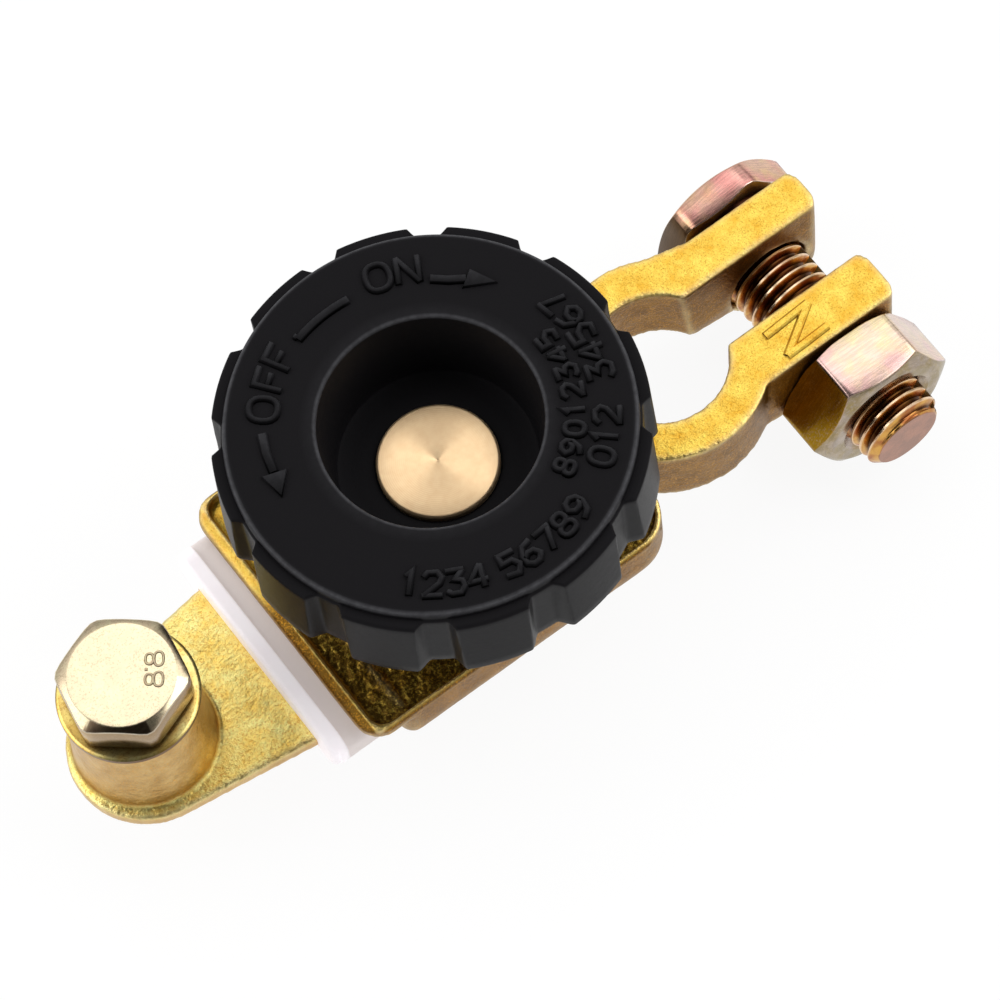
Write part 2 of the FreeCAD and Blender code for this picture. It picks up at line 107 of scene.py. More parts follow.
def mesh_from(name: str, points: np.ndarray, faces: list, sharp_deg: float = SHARP) -> bpy.types.Object:
    """Makes a clean, smooth-shaded mesh object.

    Args:
        name: The piece's name.
        points: Vertices in millimetres, one row each.
        faces: Vertex numbers of each face.
        sharp_deg: Edges that turn more than this stay sharp.

    Returns:
        The new object, in metres.
    """
    mesh = bpy.data.meshes.new(name)
    mesh.from_pydata((np.asarray(points, float) * MM).tolist(), [], faces)
    work = bmesh.new()
    work.from_mesh(mesh)
    bmesh.ops.remove_doubles(work, verts=work.verts, dist=MERGE * MM)
    bmesh.ops.dissolve_degenerate(work, edges=work.edges, dist=MERGE / 2 * MM)
    bmesh.ops.recalc_face_normals(work, faces=work.faces)
    work.to_mesh(mesh)
    work.free()
    shade(mesh, sharp_deg)
    return new_object(name, mesh)


def grid_faces(rows: int, columns: int, loop: bool) -> list:
    """Faces of a stack of rings.

    Args:
        rows: Number of rings.
        columns: Points in each ring.
        loop: True joins the last ring to the first, False caps both ends.

    Returns:
        Each face as a list of vertex numbers.
    """
    faces = []
    for i in range(rows if loop else rows - 1):
        here, there = i * columns, (i + 1) % rows * columns
        for j in range(columns):
            k = (j + 1) % columns
            faces.append([here + j, here + k, there + k, there + j])
    if not loop:
        last = (rows - 1) * columns
        faces += [list(range(columns))[::-1], list(range(last, last + columns))]
    return faces


def turned_piece(name: str, rings: np.ndarray, loop: bool, sharp_deg: float = SHARP) -> bpy.types.Object:
    """Skins a stack of rings, closed at both ends or joined end to end.

    Args:
        name: The piece's name.
        rings: Array of rings, points and coordinates, in millimetres.
        loop: True joins the last ring to the first, False caps both ends.
        sharp_deg: Edges that turn more than this stay sharp.

    Returns:
        The new object.
    """
    rows, columns = rings.shape[:2]
    return mesh_from(name, rings.reshape(-1, 3), grid_faces(rows, columns, loop), sharp_deg)


def joined(pieces: list, name: str) -> bpy.types.Object:
    """Joins several mesh objects into one.

    Args:
        pieces: The objects, which are used up.
        name: The new object's name.

    Returns:
        The new object.
    """
    work = bmesh.new()
    for piece in pieces:
        work.from_mesh(piece.data)
    mesh = bpy.data.meshes.new(name)
    work.to_mesh(mesh)
    work.free()
    for piece in pieces:
        bpy.data.objects.remove(piece)
    shade(mesh, SHARP)
    return new_object(name, mesh)


def set_mask(piece: bpy.types.Object, name: str, values: np.ndarray) -> None:
    """Stores one number for each vertex, which the materials read.

    Args:
        piece: The piece that gets the mask.
        name: The mask's name; a mask of that name is written over.
        values: One number for each vertex.
    """
    masks = piece.data.attributes
    mask = masks.get(name) or masks.new(name, "FLOAT", "POINT")
    mask.data.foreach_set("value", np.asarray(values, np.float32))


def mask_values(piece: bpy.types.Object, name: str) -> np.ndarray:
    """Reads a stored mask.

    Args:
        piece: The piece that has the mask.
        name: The mask's name.

    Returns:
        One number for each vertex.
    """
    out = np.zeros(len(piece.data.vertices), np.float32)
    piece.data.attributes[name].data.foreach_get("value", out)
    return out


def add_to_mask(piece: bpy.types.Object, name: str, values: np.ndarray) -> None:
    """Raises a stored mask to the values given, where these are higher."""
    set_mask(piece, name, np.maximum(mask_values(piece, name), np.asarray(values, np.float32)))


def vertex_array(piece: bpy.types.Object, what: str = "co") -> np.ndarray:
    """Reads the vertices' places or normals.

    Args:
        piece: The piece to read.
        what: "co" for places in millimetres, "normal" for normals.

    Returns:
        One row for each vertex.
    """
    out = np.zeros(len(piece.data.vertices) * 3, np.float32)
    piece.data.vertices.foreach_get(what, out)
    return out.reshape(-1, 3).astype(float) / (MM if what == "co" else 1.0)


def move_vertices(piece: bpy.types.Object, points: np.ndarray) -> None:
    """Puts the vertices at new places, given in millimetres."""
    piece.data.vertices.foreach_set("co", (points * MM).astype(np.float32).ravel())
    piece.data.update()


def shifted(x: float, y: float, z: float) -> Matrix:
    """A move by a distance in millimetres."""
    return Matrix.Translation((x * MM, y * MM, z * MM))


def laid_along_y(piece: bpy.types.Object, place: Point3, towards_minus: bool) -> None:
    """Turns a piece that was built about Z so that it lies along Y.

    Args:
        piece: The piece, built about the Z axis.
        place: Where its own origin goes, in millimetres.
        towards_minus: True points its +Z at -Y.
    """
    turn = Matrix.Rotation(math.radians(90 if towards_minus else -90), 4, "X")
    piece.data.transform(shifted(*place) @ turn)


def dress(piece: bpy.types.Object, finish: bpy.types.Material, body: str,
          node: str = "") -> bpy.types.Object:
    """Gives a piece its finish and its place among the nodes and bodies.

    Args:
        piece: The piece to dress.
        finish: Its material.
        body: The body that carries the piece.
        node: The node that the piece replaces, if it replaces one.

    Returns:
        The same piece.
    """
    piece.data.materials.clear()
    piece.data.materials.append(finish)
    if node:
        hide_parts(node)
    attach(piece, body)
    return piece


# Profiles shared by several pieces

def quarter_round(radius: float, count: int) -> list[Point2]:
    """Points of a quarter round, from its side to its top.

    Args:
        radius: Its radius, in millimetres.
        count: Number of points.

    Returns:
        How far each point lies in and down from the corner.
    """
    turns = [math.radians(90 * i / (count - 1)) for i in range(count)]
    return [(radius * (1 - math.cos(a)), radius * (1 - math.sin(a))) for a in turns]


def rounded_hexagon(angles: np.ndarray, across_flats: float, corner: float, turn: float) -> np.ndarray:
    """Distance from the centre to a hexagon's outline.

    Args:
        angles: Directions in radians.
        across_flats: Width over two flats.
        corner: Radius of the rounded corners.
        turn: Direction of one corner, in degrees.

    Returns:
        One distance for each direction.
    """
    half = across_flats / 2
    sixth = math.pi / 3
    from_corner = np.abs((angles - math.radians(turn) + sixth / 2) % sixth - sixth / 2)
    from_flat = sixth / 2 - from_corner
    flat = half / np.cos(from_flat)
    centre = (half - corner) / math.cos(sixth / 2)
    inside = np.maximum(corner ** 2 - (centre * np.sin(from_corner)) ** 2, 0)
    arc = centre * np.cos(from_corner) + np.sqrt(inside)
    tangent = math.atan((half - corner) * math.tan(sixth / 2) / half)
    return np.where(from_flat <= tangent, flat, arc)


def hexagon_angles(turn: float, flat_steps: int = 7, corner_steps: int = 5) -> np.ndarray:
    """Directions round a hexagon, close together at its corners.

    Args:
        turn: Direction of one corner, in degrees.
        flat_steps: Points on each flat.
        corner_steps: Points on each corner.

    Returns:
        The directions in radians.
    """
    near = 3.2
    corner = np.linspace(-near, near, corner_steps)
    flat = np.linspace(near, 60 - near, flat_steps + 2)[1:-1]
    sector = np.concatenate([corner, flat])
    return np.radians(np.concatenate([sector + turn + 60 * i for i in range(6)]))


def ring(radius: np.ndarray, height: np.ndarray, angles: np.ndarray) -> np.ndarray:
    """Makes one ring of points.

    Args:
        radius: One radius, or one for each direction.
        height: One height, or one for each direction.
        angles: Directions in radians.

    Returns:
        One row for each point.
    """
    radius = np.broadcast_to(radius, angles.shape)
    height = np.broadcast_to(height, angles.shape)
    return np.stack([radius * np.cos(angles), radius * np.sin(angles), height], axis=-1)


@dataclass
class Thread:
    """A screw thread, cut below its outside radius."""

    radius: float
    pitch: float
    depth_share: float = 0.58
    steps: int = 14
    crest_share: float = 0.16
    flank_share: float = 0.6
    flank_ease: float = 0.35
    end_inset: float = 0.15
    end_slope: float = 1.15

    @property
    def depth(self) -> float:
        """Height of the thread from its root to its crest."""
        return self.depth_share * self.pitch

    def radius_at(self, turns: np.ndarray) -> np.ndarray:
        """Radius where the thread has gone some turns past a crest.

        Args:
            turns: Turns past a crest.

        Returns:
            One radius for each value.
        """
        from_crest = np.abs((turns + 0.5) % 1 - 0.5) * 2
        flank = np.clip((from_crest - self.crest_share) / self.flank_share, 0, 1)
        eased = flank * flank * (3 - 2 * flank) * self.flank_ease + flank * (1 - self.flank_ease)
        return self.radius - self.depth * eased

    def rings(self, top: float, bottom: float, angles: np.ndarray) -> list:
        """Rings of a threaded shank that runs down from top to bottom.

        Args:
            top: Height where the shank starts.
            bottom: Height of its end face.
            angles: Directions in radians.

        Returns:
            A list of rings.
        """
        turn = (angles - angles[0]) / (2 * math.pi)
        count = int(math.ceil((top - bottom) / self.pitch + 1) * self.steps)
        root = self.radius - self.depth
        made = []
        for i in range(count + 1):
            height = top + self.pitch * (turn - i / self.steps)
            radius = self.radius_at(np.full(angles.shape, i / self.steps))
            end = root - self.end_inset + np.maximum(height - bottom, 0) * self.end_slope
            radius = np.where(height > top, root, np.minimum(radius, end))
            made.append(ring(radius, np.clip(height, bottom, top), angles))
        return made


@dataclass
class HexagonHead:
    """The chamfered head of a hexagon bolt, on its washer face."""

    across_flats: float
    height: float
    face_radius: float
    slope: float
    turn: float
    washer_radius: float
    washer_height: float
    corner_reach: float
    foot: float = 0.0
    corner: float = 0.35
    edge: float = 0.12

    def rings(self, seat: float, angles: np.ndarray) -> list:
        """Rings from the head's top centre down to its seat.

        Args:
            seat: Height of the washer face.
            angles: Directions in radians.

        Returns:
            A list of rings.
        """
        top = seat + self.washer_height + self.height
        low = seat + self.washer_height
        side = rounded_hexagon(angles, self.across_flats, self.corner, self.turn)
        side = np.minimum(side, self.corner_reach)
        turned = top - (side - self.face_radius) * self.slope
        under = low + np.maximum(self.foot - (self.corner_reach - side) / 2, 0)
        e = self.edge
        made = [ring(r * self.face_radius, top, angles) for r in (0.02, 0.3, 0.6, 0.9)]
        made += [
            ring(self.face_radius - e, top, angles),
            ring(self.face_radius - 0.3 * e, top - 0.1 * e, angles),
            ring(self.face_radius + 0.5 * e, top - 0.5 * e * self.slope - 0.15 * e, angles),
            ring(side - 1.2 * e, turned + 1.2 * e * self.slope, angles),
            ring(side - 0.35 * e, turned - 0.1 * e, angles),
            ring(side, turned - 0.9 * e, angles),
            ring(side, (turned + under) / 2, angles),
            ring(side, under + e, angles),
            ring(side - 0.3 * e, under + 0.1 * e, angles),
            ring(np.minimum(side - e, self.corner_reach - 2 * self.foot), low, angles),
            ring(self.washer_radius, low, angles),
            ring(self.washer_radius, seat + 0.4 * e, angles),
            ring(self.washer_radius - 0.4 * e, seat, angles),
        ]
        return made


# Raised marks

@dataclass
class RaisedStroke:
    """A moulded or stamped line that stands up from a face."""

    width: float
    height: float
    ease: float
    sink: float = 0.15
    brow: float = 0.55
    mitre_limit: float = 0.35

    def ribbon(self, name: str, path: list[Point2], closed: bool = False) -> bpy.types.Object:
        """Makes the line along a path on the plane z = 0.

        Args:
            name: The piece's name.
            path: The line's middle, in millimetres.
            closed: True joins the end to the start.

        Returns:
            The new object.
        """
        line = np.array(path, float)
        before, after = np.roll(line, 1, axis=0), np.roll(line, -1, axis=0)
        if not closed:
            before[0] = 2 * line[0] - line[1]
            after[-1] = 2 * line[-1] - line[-2]
        first, second = line - before, after - line
        first /= np.linalg.norm(first, axis=1, keepdims=True)
        second /= np.linalg.norm(second, axis=1, keepdims=True)
        across = np.stack([-(first + second)[:, 1], (first + second)[:, 0]], axis=1)
        across /= np.maximum(np.linalg.norm(across, axis=1, keepdims=True), 1e-6)
        left = np.stack([-first[:, 1], first[:, 0]], axis=1)
        stretch = 1 / np.maximum(np.sum(across * left, axis=1), self.mitre_limit)
        half, ease = self.width / 2, self.ease
        flank = [(half - 0.5 * ease, self.height), (half + 0.35 * ease, self.brow * self.height),
                 (half + ease, 0), (half + ease, -self.sink)]
        section = [(-s, z) for s, z in flank[::-1]] + flank
        points = [(*(line[i] + across[i] * stretch[i] * s), z) for i in range(len(line)) for s, z in section]
        return mesh_from(name, np.array(points), grid_faces(len(line), len(section), closed), MARK_SHARP)

    def plate(self, name: str, outline: list[Point2]) -> bpy.types.Object:
        """Makes a raised flat patch on the plane z = 0.

        Args:
            name: The piece's name.
            outline: The corners of its convex outline, in millimetres.

        Returns:
            The new object.
        """
        line = np.array(outline, float)
        middle = line.mean(axis=0)
        reach = np.linalg.norm(line - middle, axis=1, keepdims=True)
        away = (line - middle) / reach
        levels = [(self.ease, -self.sink), (self.ease, 0.0), (0.3 * self.ease, self.brow * self.height),
                  (-0.6 * self.ease, self.height)]
        points = [(*(line[i] + away[i] * out), z) for out, z in levels for i in range(len(line))]
        return mesh_from(name, np.array(points), grid_faces(len(levels), len(line), False), MARK_SHARP)


PLAIN_DIGITS: dict[int, list] = {
    1: [[(-0.45, 0.6), (0.0, 1.0), (0.0, -1.0)]],
    2: [[(-0.8, 0.6), (-0.4, 1.0), (0.4, 1.0), (0.8, 0.55), (0.6, 0.05), (-0.8, -1.0)],
        [(-0.95, -1.0), (0.85, -1.0)]],
    3: [[(-0.75, 1.0), (0.85, 1.0)],
        [(0.75, 1.0), (0.0, 0.2), (0.6, 0.05), (0.8, -0.45), (0.4, -1.0), (-0.4, -1.0), (-0.8, -0.7)]],
    4: [[(0.4, -1.0), (0.4, 1.0)], [(0.4, 1.0), (-0.85, -0.35)], [(-1.0, -0.35), (0.85, -0.35)]],
    5: [[(0.75, 1.0), (-0.65, 1.0), (-0.7, 0.2), (0.3, 0.25), (0.8, -0.3), (0.4, -1.0), (-0.75, -0.85)]],
    6: [[(0.6, 1.0), (-0.3, 0.75), (-0.75, 0.0), (-0.7, -0.65), (-0.2, -1.0), (0.4, -0.95), (0.8, -0.45),
         (0.4, 0.05), (-0.2, 0.1), (-0.65, -0.25)]],
    7: [[(-0.8, 1.0), (0.95, 1.0)], [(0.75, 1.0), (-0.2, -1.0)]],
    9: [[(-0.6, -1.0), (0.3, -0.75), (0.75, 0.0), (0.7, 0.65), (0.2, 1.0), (-0.4, 0.95), (-0.8, 0.45),
         (-0.4, -0.05), (0.2, -0.1), (0.65, 0.25)]],
}


# The round digits: rise, width and height of each loop
PLAIN_LOOPS: dict[int, list] = {
    0: [(0.0, 1.55, 2.0)],
    8: [(0.5, 1.2, 1.0), (-0.5, 1.5, 1.0)],
}


def oval(width: float, height: float, steps: int = 20, power: float = 0.82) -> list[Point2]:
    """A rounded letter shape, squarer than an ellipse.

    Args:
        width: Its width, in millimetres.
        height: Its height, in millimetres.
        steps: Number of points.
        power: 1 gives an ellipse, less than 1 a squarer oval.

    Returns:
        A closed path.
    """
    path = []
    for i in range(steps):
        a = 2 * math.pi * i / steps
        c, s = math.cos(a), math.sin(a)
        path.append((math.copysign(abs(c) ** power, c) * width / 2,
                     math.copysign(abs(s) ** power, s) * height / 2))
    return path


# Shader node work

class Nodes:
    """Short ways to build one node tree."""

    # Places of a colour mix's inputs and output
    MIX_A = 6
    MIX_B = 7
    MIX_RESULT = 2

    def __init__(self, tree: bpy.types.NodeTree) -> None:
        """Starts on an existing tree."""
        self.tree = tree

    def add(self, kind: str, **settings: object) -> bpy.types.Node:
        """Adds a node.

        Args:
            kind: The node's type.
            settings: Properties to set on it.

        Returns:
            The new node.
        """
        node = self.tree.nodes.new(kind)
        for key, value in settings.items():
            setattr(node, key, value)
        return node

    def link(self, source: bpy.types.NodeSocket, target: bpy.types.NodeSocket) -> None:
        """Joins an output to an input."""
        self.tree.links.new(source, target)

    def put(self, value: object, target: bpy.types.NodeSocket) -> None:
        """Gives an input its value.

        Args:
            value: A socket to link, a number, or a colour without its alpha.
            target: The input.
        """
        if isinstance(value, bpy.types.NodeSocket):
            self.link(value, target)
        elif isinstance(value, tuple):
            target.default_value = (*value, 1.0)
        else:
            target.default_value = value

    def math(self, operation: str, a: object, b: object) -> bpy.types.NodeSocket:
        """Adds one step of arithmetic.

        Args:
            operation: The step, by its name in capitals.
            a: Its first number or socket.
            b: Its second one.

        Returns:
            The result.
        """
        node = self.add("ShaderNodeMath", operation=operation)
        self.put(a, node.inputs[0])
        self.put(b, node.inputs[1])
        return node.outputs[0]

    def clamp(self, value: bpy.types.NodeSocket) -> bpy.types.NodeSocket:
        """Keeps a number between 0 and 1."""
        return self.math("MINIMUM", self.math("MAXIMUM", value, 0.0), 1.0)

    def blend(self, share: object, a: object, b: object) -> bpy.types.NodeSocket:
        """Mixes two colours.

        Args:
            share: How much of the second colour shows, from 0 to 1.
            a: The first colour.
            b: The second colour.

        Returns:
            The mixed colour.
        """
        node = self.add("ShaderNodeMix", data_type="RGBA")
        self.put(share, node.inputs["Factor"])
        self.put(a, node.inputs[self.MIX_A])
        self.put(b, node.inputs[self.MIX_B])
        return node.outputs[self.MIX_RESULT]

    def cover(self, body: object, colour: object, mask: object, share: float) -> bpy.types.NodeSocket:
        """Covers a colour with another one, to a share, where a mask says so."""
        return self.blend(self.math("MULTIPLY", mask, share), body, colour)

    def fade(self, value: object, low: object, high: object, to_low: float = 0.0,
             to_high: float = 1.0) -> bpy.types.NodeSocket:
        """Maps a range to another one, smoothly and within its ends.

        Args:
            value: The number to map.
            low: Where the range starts.
            high: Where it ends.
            to_low: What its start becomes.
            to_high: What its end becomes.

        Returns:
            The mapped number.
        """
        node = self.add("ShaderNodeMapRange", interpolation_type="SMOOTHSTEP")
        for item, target in zip((value, low, high, to_low, to_high), node.inputs):
            self.put(item, target)
        return node.outputs[0]

    def noise(self, scale: object, detail: float = 3.0, rough: float = 0.55,
              vector: object = None) -> bpy.types.NodeSocket:
        """Adds cloudy noise.

        Args:
            scale: Its features for each millimetre.
            detail: How many finer layers it has.
            rough: How strong these are.
            vector: Where it is read; the object's own coordinates by default.

        Returns:
            The noise, from 0 to 1.
        """
        node = self.add("ShaderNodeTexNoise")
        node.inputs["Detail"].default_value = detail
        node.inputs["Roughness"].default_value = rough
        self.link(self.math("MULTIPLY", scale, 1 / MM), node.inputs["Scale"])
        self.link(vector or self.add("ShaderNodeTexCoord").outputs["Object"], node.inputs["Vector"])
        return node.outputs["Fac"]

    def mask(self, name: str) -> bpy.types.NodeSocket:
        """A mask that the mesh carries."""
        return self.add("ShaderNodeAttribute", attribute_name=name).outputs["Fac"]

    def axes(self, source: str) -> bpy.types.NodeOutputs:
        """Splits a texture coordinate.

        Args:
            source: The coordinate's name, such as Object or Normal.

        Returns:
            Its X, Y and Z.
        """
        split = self.add("ShaderNodeSeparateXYZ")
        self.link(self.add("ShaderNodeTexCoord").outputs[source], split.inputs[0])
        return split.outputs


class Effect(Enum):
    """The effects that several materials share, each one node group."""

    GRAIN = "cast_grain"
    SPECKLE = "dark_speckle"
    MOTTLE = "tone_mottle"
    FACING = "upward_face"
    BRUSHED = "drawn_lines"
    # Painted highlight, partly wear, on edges and painted shade in hollows
    WEAR_AND_PAINTED_LIGHT = "edge_wear_and_painted_light"


class EffectLibrary:
    """Builds each shared effect once and places it in materials."""

    def __init__(self) -> None:
        """Starts with no group built."""
        self.built: dict[Effect, bpy.types.NodeTree] = {}

    def start(self, effect: Effect, inputs: dict[str, float], outputs: list[str]) -> Nodes:
        """Makes an empty group with named sockets.

        Args:
            effect: Which effect the group is.
            inputs: Names and usual values of its inputs.
            outputs: Names of its outputs.

        Returns:
            The group's node tree, ready to be filled.
        """
        tree = bpy.data.node_groups.new(effect.value, "ShaderNodeTree")
        for name, value in inputs.items():
            socket = tree.interface.new_socket(name, in_out="INPUT", socket_type="NodeSocketFloat")
            socket.default_value = value
        for name in outputs:
            tree.interface.new_socket(name, in_out="OUTPUT", socket_type="NodeSocketFloat")
        nodes = Nodes(tree)
        self.inside = nodes.add("NodeGroupInput").outputs
        self.outside = nodes.add("NodeGroupOutput").inputs
        return nodes

    def grain(self) -> bpy.types.NodeTree:
        """Rounded casting grain, coarse and fine.

        Returns:
            The finished group.
        """
        n = self.start(Effect.GRAIN, {"Scale": 2.0, "Coarse": 0.5}, ["Height"])
        fine = n.noise(self.inside["Scale"], 4.0, 0.6)
        wide = n.noise(n.math("MULTIPLY", self.inside["Scale"], 0.23), 2.0, 0.5)
        mixed = n.math("ADD", n.math("MULTIPLY", fine, 0.6),
                       n.math("MULTIPLY", wide, self.inside["Coarse"]))
        n.link(mixed, self.outside["Height"])
        return n.tree

    def speckle(self) -> bpy.types.NodeTree:
        """Small dark pits with soft edges.

        Returns:
            The finished group.
        """
        n = self.start(Effect.SPECKLE, {"Scale": 3.0, "Level": 0.6}, ["Mask"])
        dots = n.noise(self.inside["Scale"], 2.0, 0.7)
        patches = n.noise(n.math("MULTIPLY", self.inside["Scale"], 0.12), 2.0, 0.5)
        level = n.math("ADD", self.inside["Level"],
                       n.math("MULTIPLY", n.math("SUBTRACT", 0.5, patches), 0.18))
        over = n.math("MULTIPLY", n.math("SUBTRACT", dots, level), 14.0)
        n.link(n.clamp(over), self.outside["Mask"])
        return n.tree

    def mottle(self) -> bpy.types.NodeTree:
        """Broad changes of tone.

        Returns:
            The finished group.
        """
        n = self.start(Effect.MOTTLE, {"Scale": 0.3, "Contrast": 2.0}, ["Mask"])
        cloud = n.noise(self.inside["Scale"], 3.0, 0.55)
        centred = n.math("MULTIPLY", n.math("SUBTRACT", cloud, 0.5), self.inside["Contrast"])
        n.link(n.clamp(n.math("ADD", centred, 0.5)), self.outside["Mask"])
        return n.tree

    def facing(self) -> bpy.types.NodeTree:
        """How far a face looks up: 1 on top faces, 0 on walls and below.

        Returns:
            The finished group.
        """
        n = self.start(Effect.FACING, {"Low": 0.35, "High": 0.85}, ["Mask"])
        up = n.fade(n.axes("Normal")["Z"], self.inside["Low"], self.inside["High"])
        n.link(up, self.outside["Mask"])
        return n.tree

    def brushed(self) -> bpy.types.NodeTree:
        """Fine lines drawn along Z or, for pieces that lie along Y, across them.

        Returns:
            The finished group.
        """
        n = self.start(Effect.BRUSHED, {"Scale": 4.0, "Stretch": 0.06}, ["Height"])
        join = n.add("ShaderNodeCombineXYZ")
        n.put(self.inside["Stretch"], join.inputs[0])
        n.put(1.0, join.inputs[1])
        n.put(self.inside["Stretch"], join.inputs[2])
        squeeze = n.add("ShaderNodeVectorMath", operation="MULTIPLY")
        n.link(n.add("ShaderNodeTexCoord").outputs["Object"], squeeze.inputs[0])
        n.link(join.outputs[0], squeeze.inputs[1])
        n.link(n.noise(self.inside["Scale"], 3.0, 0.6, squeeze.outputs[0]), self.outside["Height"])
        return n.tree

    def wear_and_painted_light(self) -> bpy.types.NodeTree:
        """The edge and hollow masks that the meshes carry, the edges a little patchy: a painted highlight,
        partly wear, on edges and painted shade in hollows.

        Returns:
            The finished group.
        """
        n = self.start(Effect.WEAR_AND_PAINTED_LIGHT, {"Patchy": 0.5}, ["Edge", "Hollow"])
        cloud = n.fade(n.noise(1.1, 3.0, 0.6), 0.35, 0.65)
        keep = n.math("SUBTRACT", 1.0, n.math("MULTIPLY", self.inside["Patchy"], cloud))
        n.link(n.math("MULTIPLY", n.mask("edge"), keep), self.outside["Edge"])
        n.link(n.mask("hollow"), self.outside["Hollow"])
        return n.tree

    def place(self, nodes: Nodes, effect: Effect, **values: float) -> bpy.types.NodeOutputs:
        """Puts an effect in a material with its own values.

        Args:
            nodes: The material's node tree.
            effect: Which effect to place.
            values: Its inputs by name, with a lower-case first letter.

        Returns:
            The group's outputs.
        """
        if effect not in self.built:
            maker = {Effect.GRAIN: self.grain, Effect.SPECKLE: self.speckle, Effect.MOTTLE: self.mottle,
                     Effect.FACING: self.facing, Effect.BRUSHED: self.brushed, Effect.WEAR_AND_PAINTED_LIGHT: self.wear_and_painted_light}
            self.built[effect] = maker[effect]()
        node = nodes.add("ShaderNodeGroup", node_tree=self.built[effect])
        for name, value in values.items():
            node.inputs[name.capitalize()].default_value = value
        return node.outputs


EFFECTS = EffectLibrary()


def blank_material(name: str, metallic: float = 0.0) -> tuple[bpy.types.Material, Nodes, bpy.types.Node]:
    """Starts a new material.

    Args:
        name: The material's name.
        metallic: 1 for a metal.

    Returns:
        The material, its nodes and its shader.
    """
    made = bpy.data.materials.new(name)
    made.use_nodes = True
    shader = made.node_tree.nodes["Principled BSDF"]
    shader.inputs["Metallic"].default_value = metallic
    return made, Nodes(made.node_tree), shader


def add_bump(n: Nodes, shader: bpy.types.Node, height: bpy.types.NodeSocket, depth: float,
             strength: float = 1.0) -> None:
    """Drives the shader's normal from a height.

    Args:
        n: The material's nodes.
        shader: The shader that gets the normal.
        height: A height from 0 to 1.
        depth: What 1 stands for, in millimetres.
        strength: Share of the effect that shows.
    """
    bump = n.add("ShaderNodeBump")
    bump.inputs["Strength"].default_value = strength
    bump.inputs["Distance"].default_value = depth * MM
    n.link(height, bump.inputs["Height"])
    n.link(bump.outputs["Normal"], shader.inputs["Normal"])


@dataclass(frozen=True)
class CastBrass:
    """Sand-cast brass, with painted light making it bright on top and painted shade making it duller on its
    walls.
    """

    name: str = "cast_brass_bright"
    # top and top_deep are painted light on faces that look up; wall and wall_deep are painted shade on walls
    top: Colour = (1.0, 0.78, 0.15)
    top_deep: Colour = (0.82, 0.43, 0.038)
    wall: Colour = (0.28, 0.14, 0.024)
    wall_deep: Colour = (0.15, 0.068, 0.010)
    pit: Colour = (0.58, 0.27, 0.025)
    # hollow: painted shade, partly dirt, in hollows and on the rim's slope; edge: painted highlight, partly
    # wear
    hollow: Colour = (0.09, 0.04, 0.008)
    # deep: the dark sand-cast tray floor, with the knob's painted shade over it
    deep: Colour = (0.17, 0.085, 0.014)
    edge: Colour = (1.0, 0.86, 0.50)
    fine_share: float = 0.38
    grain_scale: float = 2.6
    grain_depth: float = 0.15
    pit_scale: float = 5.5
    speckle_level: float = 0.54
    roughness: float = 0.38

    def colour(self, n: Nodes) -> bpy.types.NodeSocket:
        """Lays the brass's tones over each other, with painted light and shade among them.

        Args:
            n: The material's nodes.

        Returns:
            The colour.
        """
        broad = EFFECTS.place(n, Effect.MOTTLE, scale=0.42, contrast=3.2)["Mask"]
        fine = EFFECTS.place(n, Effect.MOTTLE, scale=2.6, contrast=2.6)["Mask"]
        up = EFFECTS.place(n, Effect.FACING, low=0.25, high=0.8)["Mask"]
        pits = EFFECTS.place(n, Effect.SPECKLE, scale=self.pit_scale, level=self.speckle_level)["Mask"]
        wear_and_painted_light = EFFECTS.place(n, Effect.WEAR_AND_PAINTED_LIGHT, patchy=0.35)
        share = n.math("ADD", n.math("MULTIPLY", broad, 1 - self.fine_share),
                       n.math("MULTIPLY", fine, self.fine_share))
        # Painted light and shade: faces that look up get the top colours, walls the darker wall colours
        wall = n.blend(share, self.wall_deep, self.wall)
        body = n.blend(up, wall, n.blend(share, self.top_deep, self.top))
        # Painted shade on the tray rim's outer slope
        body = n.cover(body, n.blend(share, self.hollow, self.wall_deep), n.mask("flank"), 0.95)
        body = n.cover(body, self.pit, pits, 0.7)
        # Painted shade of the knob over the dark tray floor, broken by painted glints
        painted_glint = n.fade(n.noise(2.8, 4.0, 0.65), 0.47, 0.62)
        shade_share = n.math("SUBTRACT", 1.0, n.math("MULTIPLY", painted_glint, 0.85))
        body = n.cover(body, self.deep, n.math("MULTIPLY", n.mask("deep"), shade_share), 0.92)
        # Painted shade, partly dirt, in hollows and a painted highlight, partly wear, on edges
        body = n.cover(body, self.hollow, wear_and_painted_light["Hollow"], 0.85)
        return n.cover(body, self.edge, wear_and_painted_light["Edge"], 0.75)

    def material(self) -> bpy.types.Material:
        """Builds the material.

        Returns:
            The new material.
        """
        made, n, shader = blank_material(self.name, 1.0)
        n.link(self.colour(n), shader.inputs["Base Color"])
        grain = EFFECTS.place(n, Effect.GRAIN, scale=self.grain_scale, coarse=0.5)["Height"]
        uneven = n.math("MULTIPLY", n.math("SUBTRACT", grain, 0.5), 0.25)
        n.link(n.math("ADD", self.roughness, uneven), shader.inputs["Roughness"])
        add_bump(n, shader, grain, self.grain_depth)
        return made


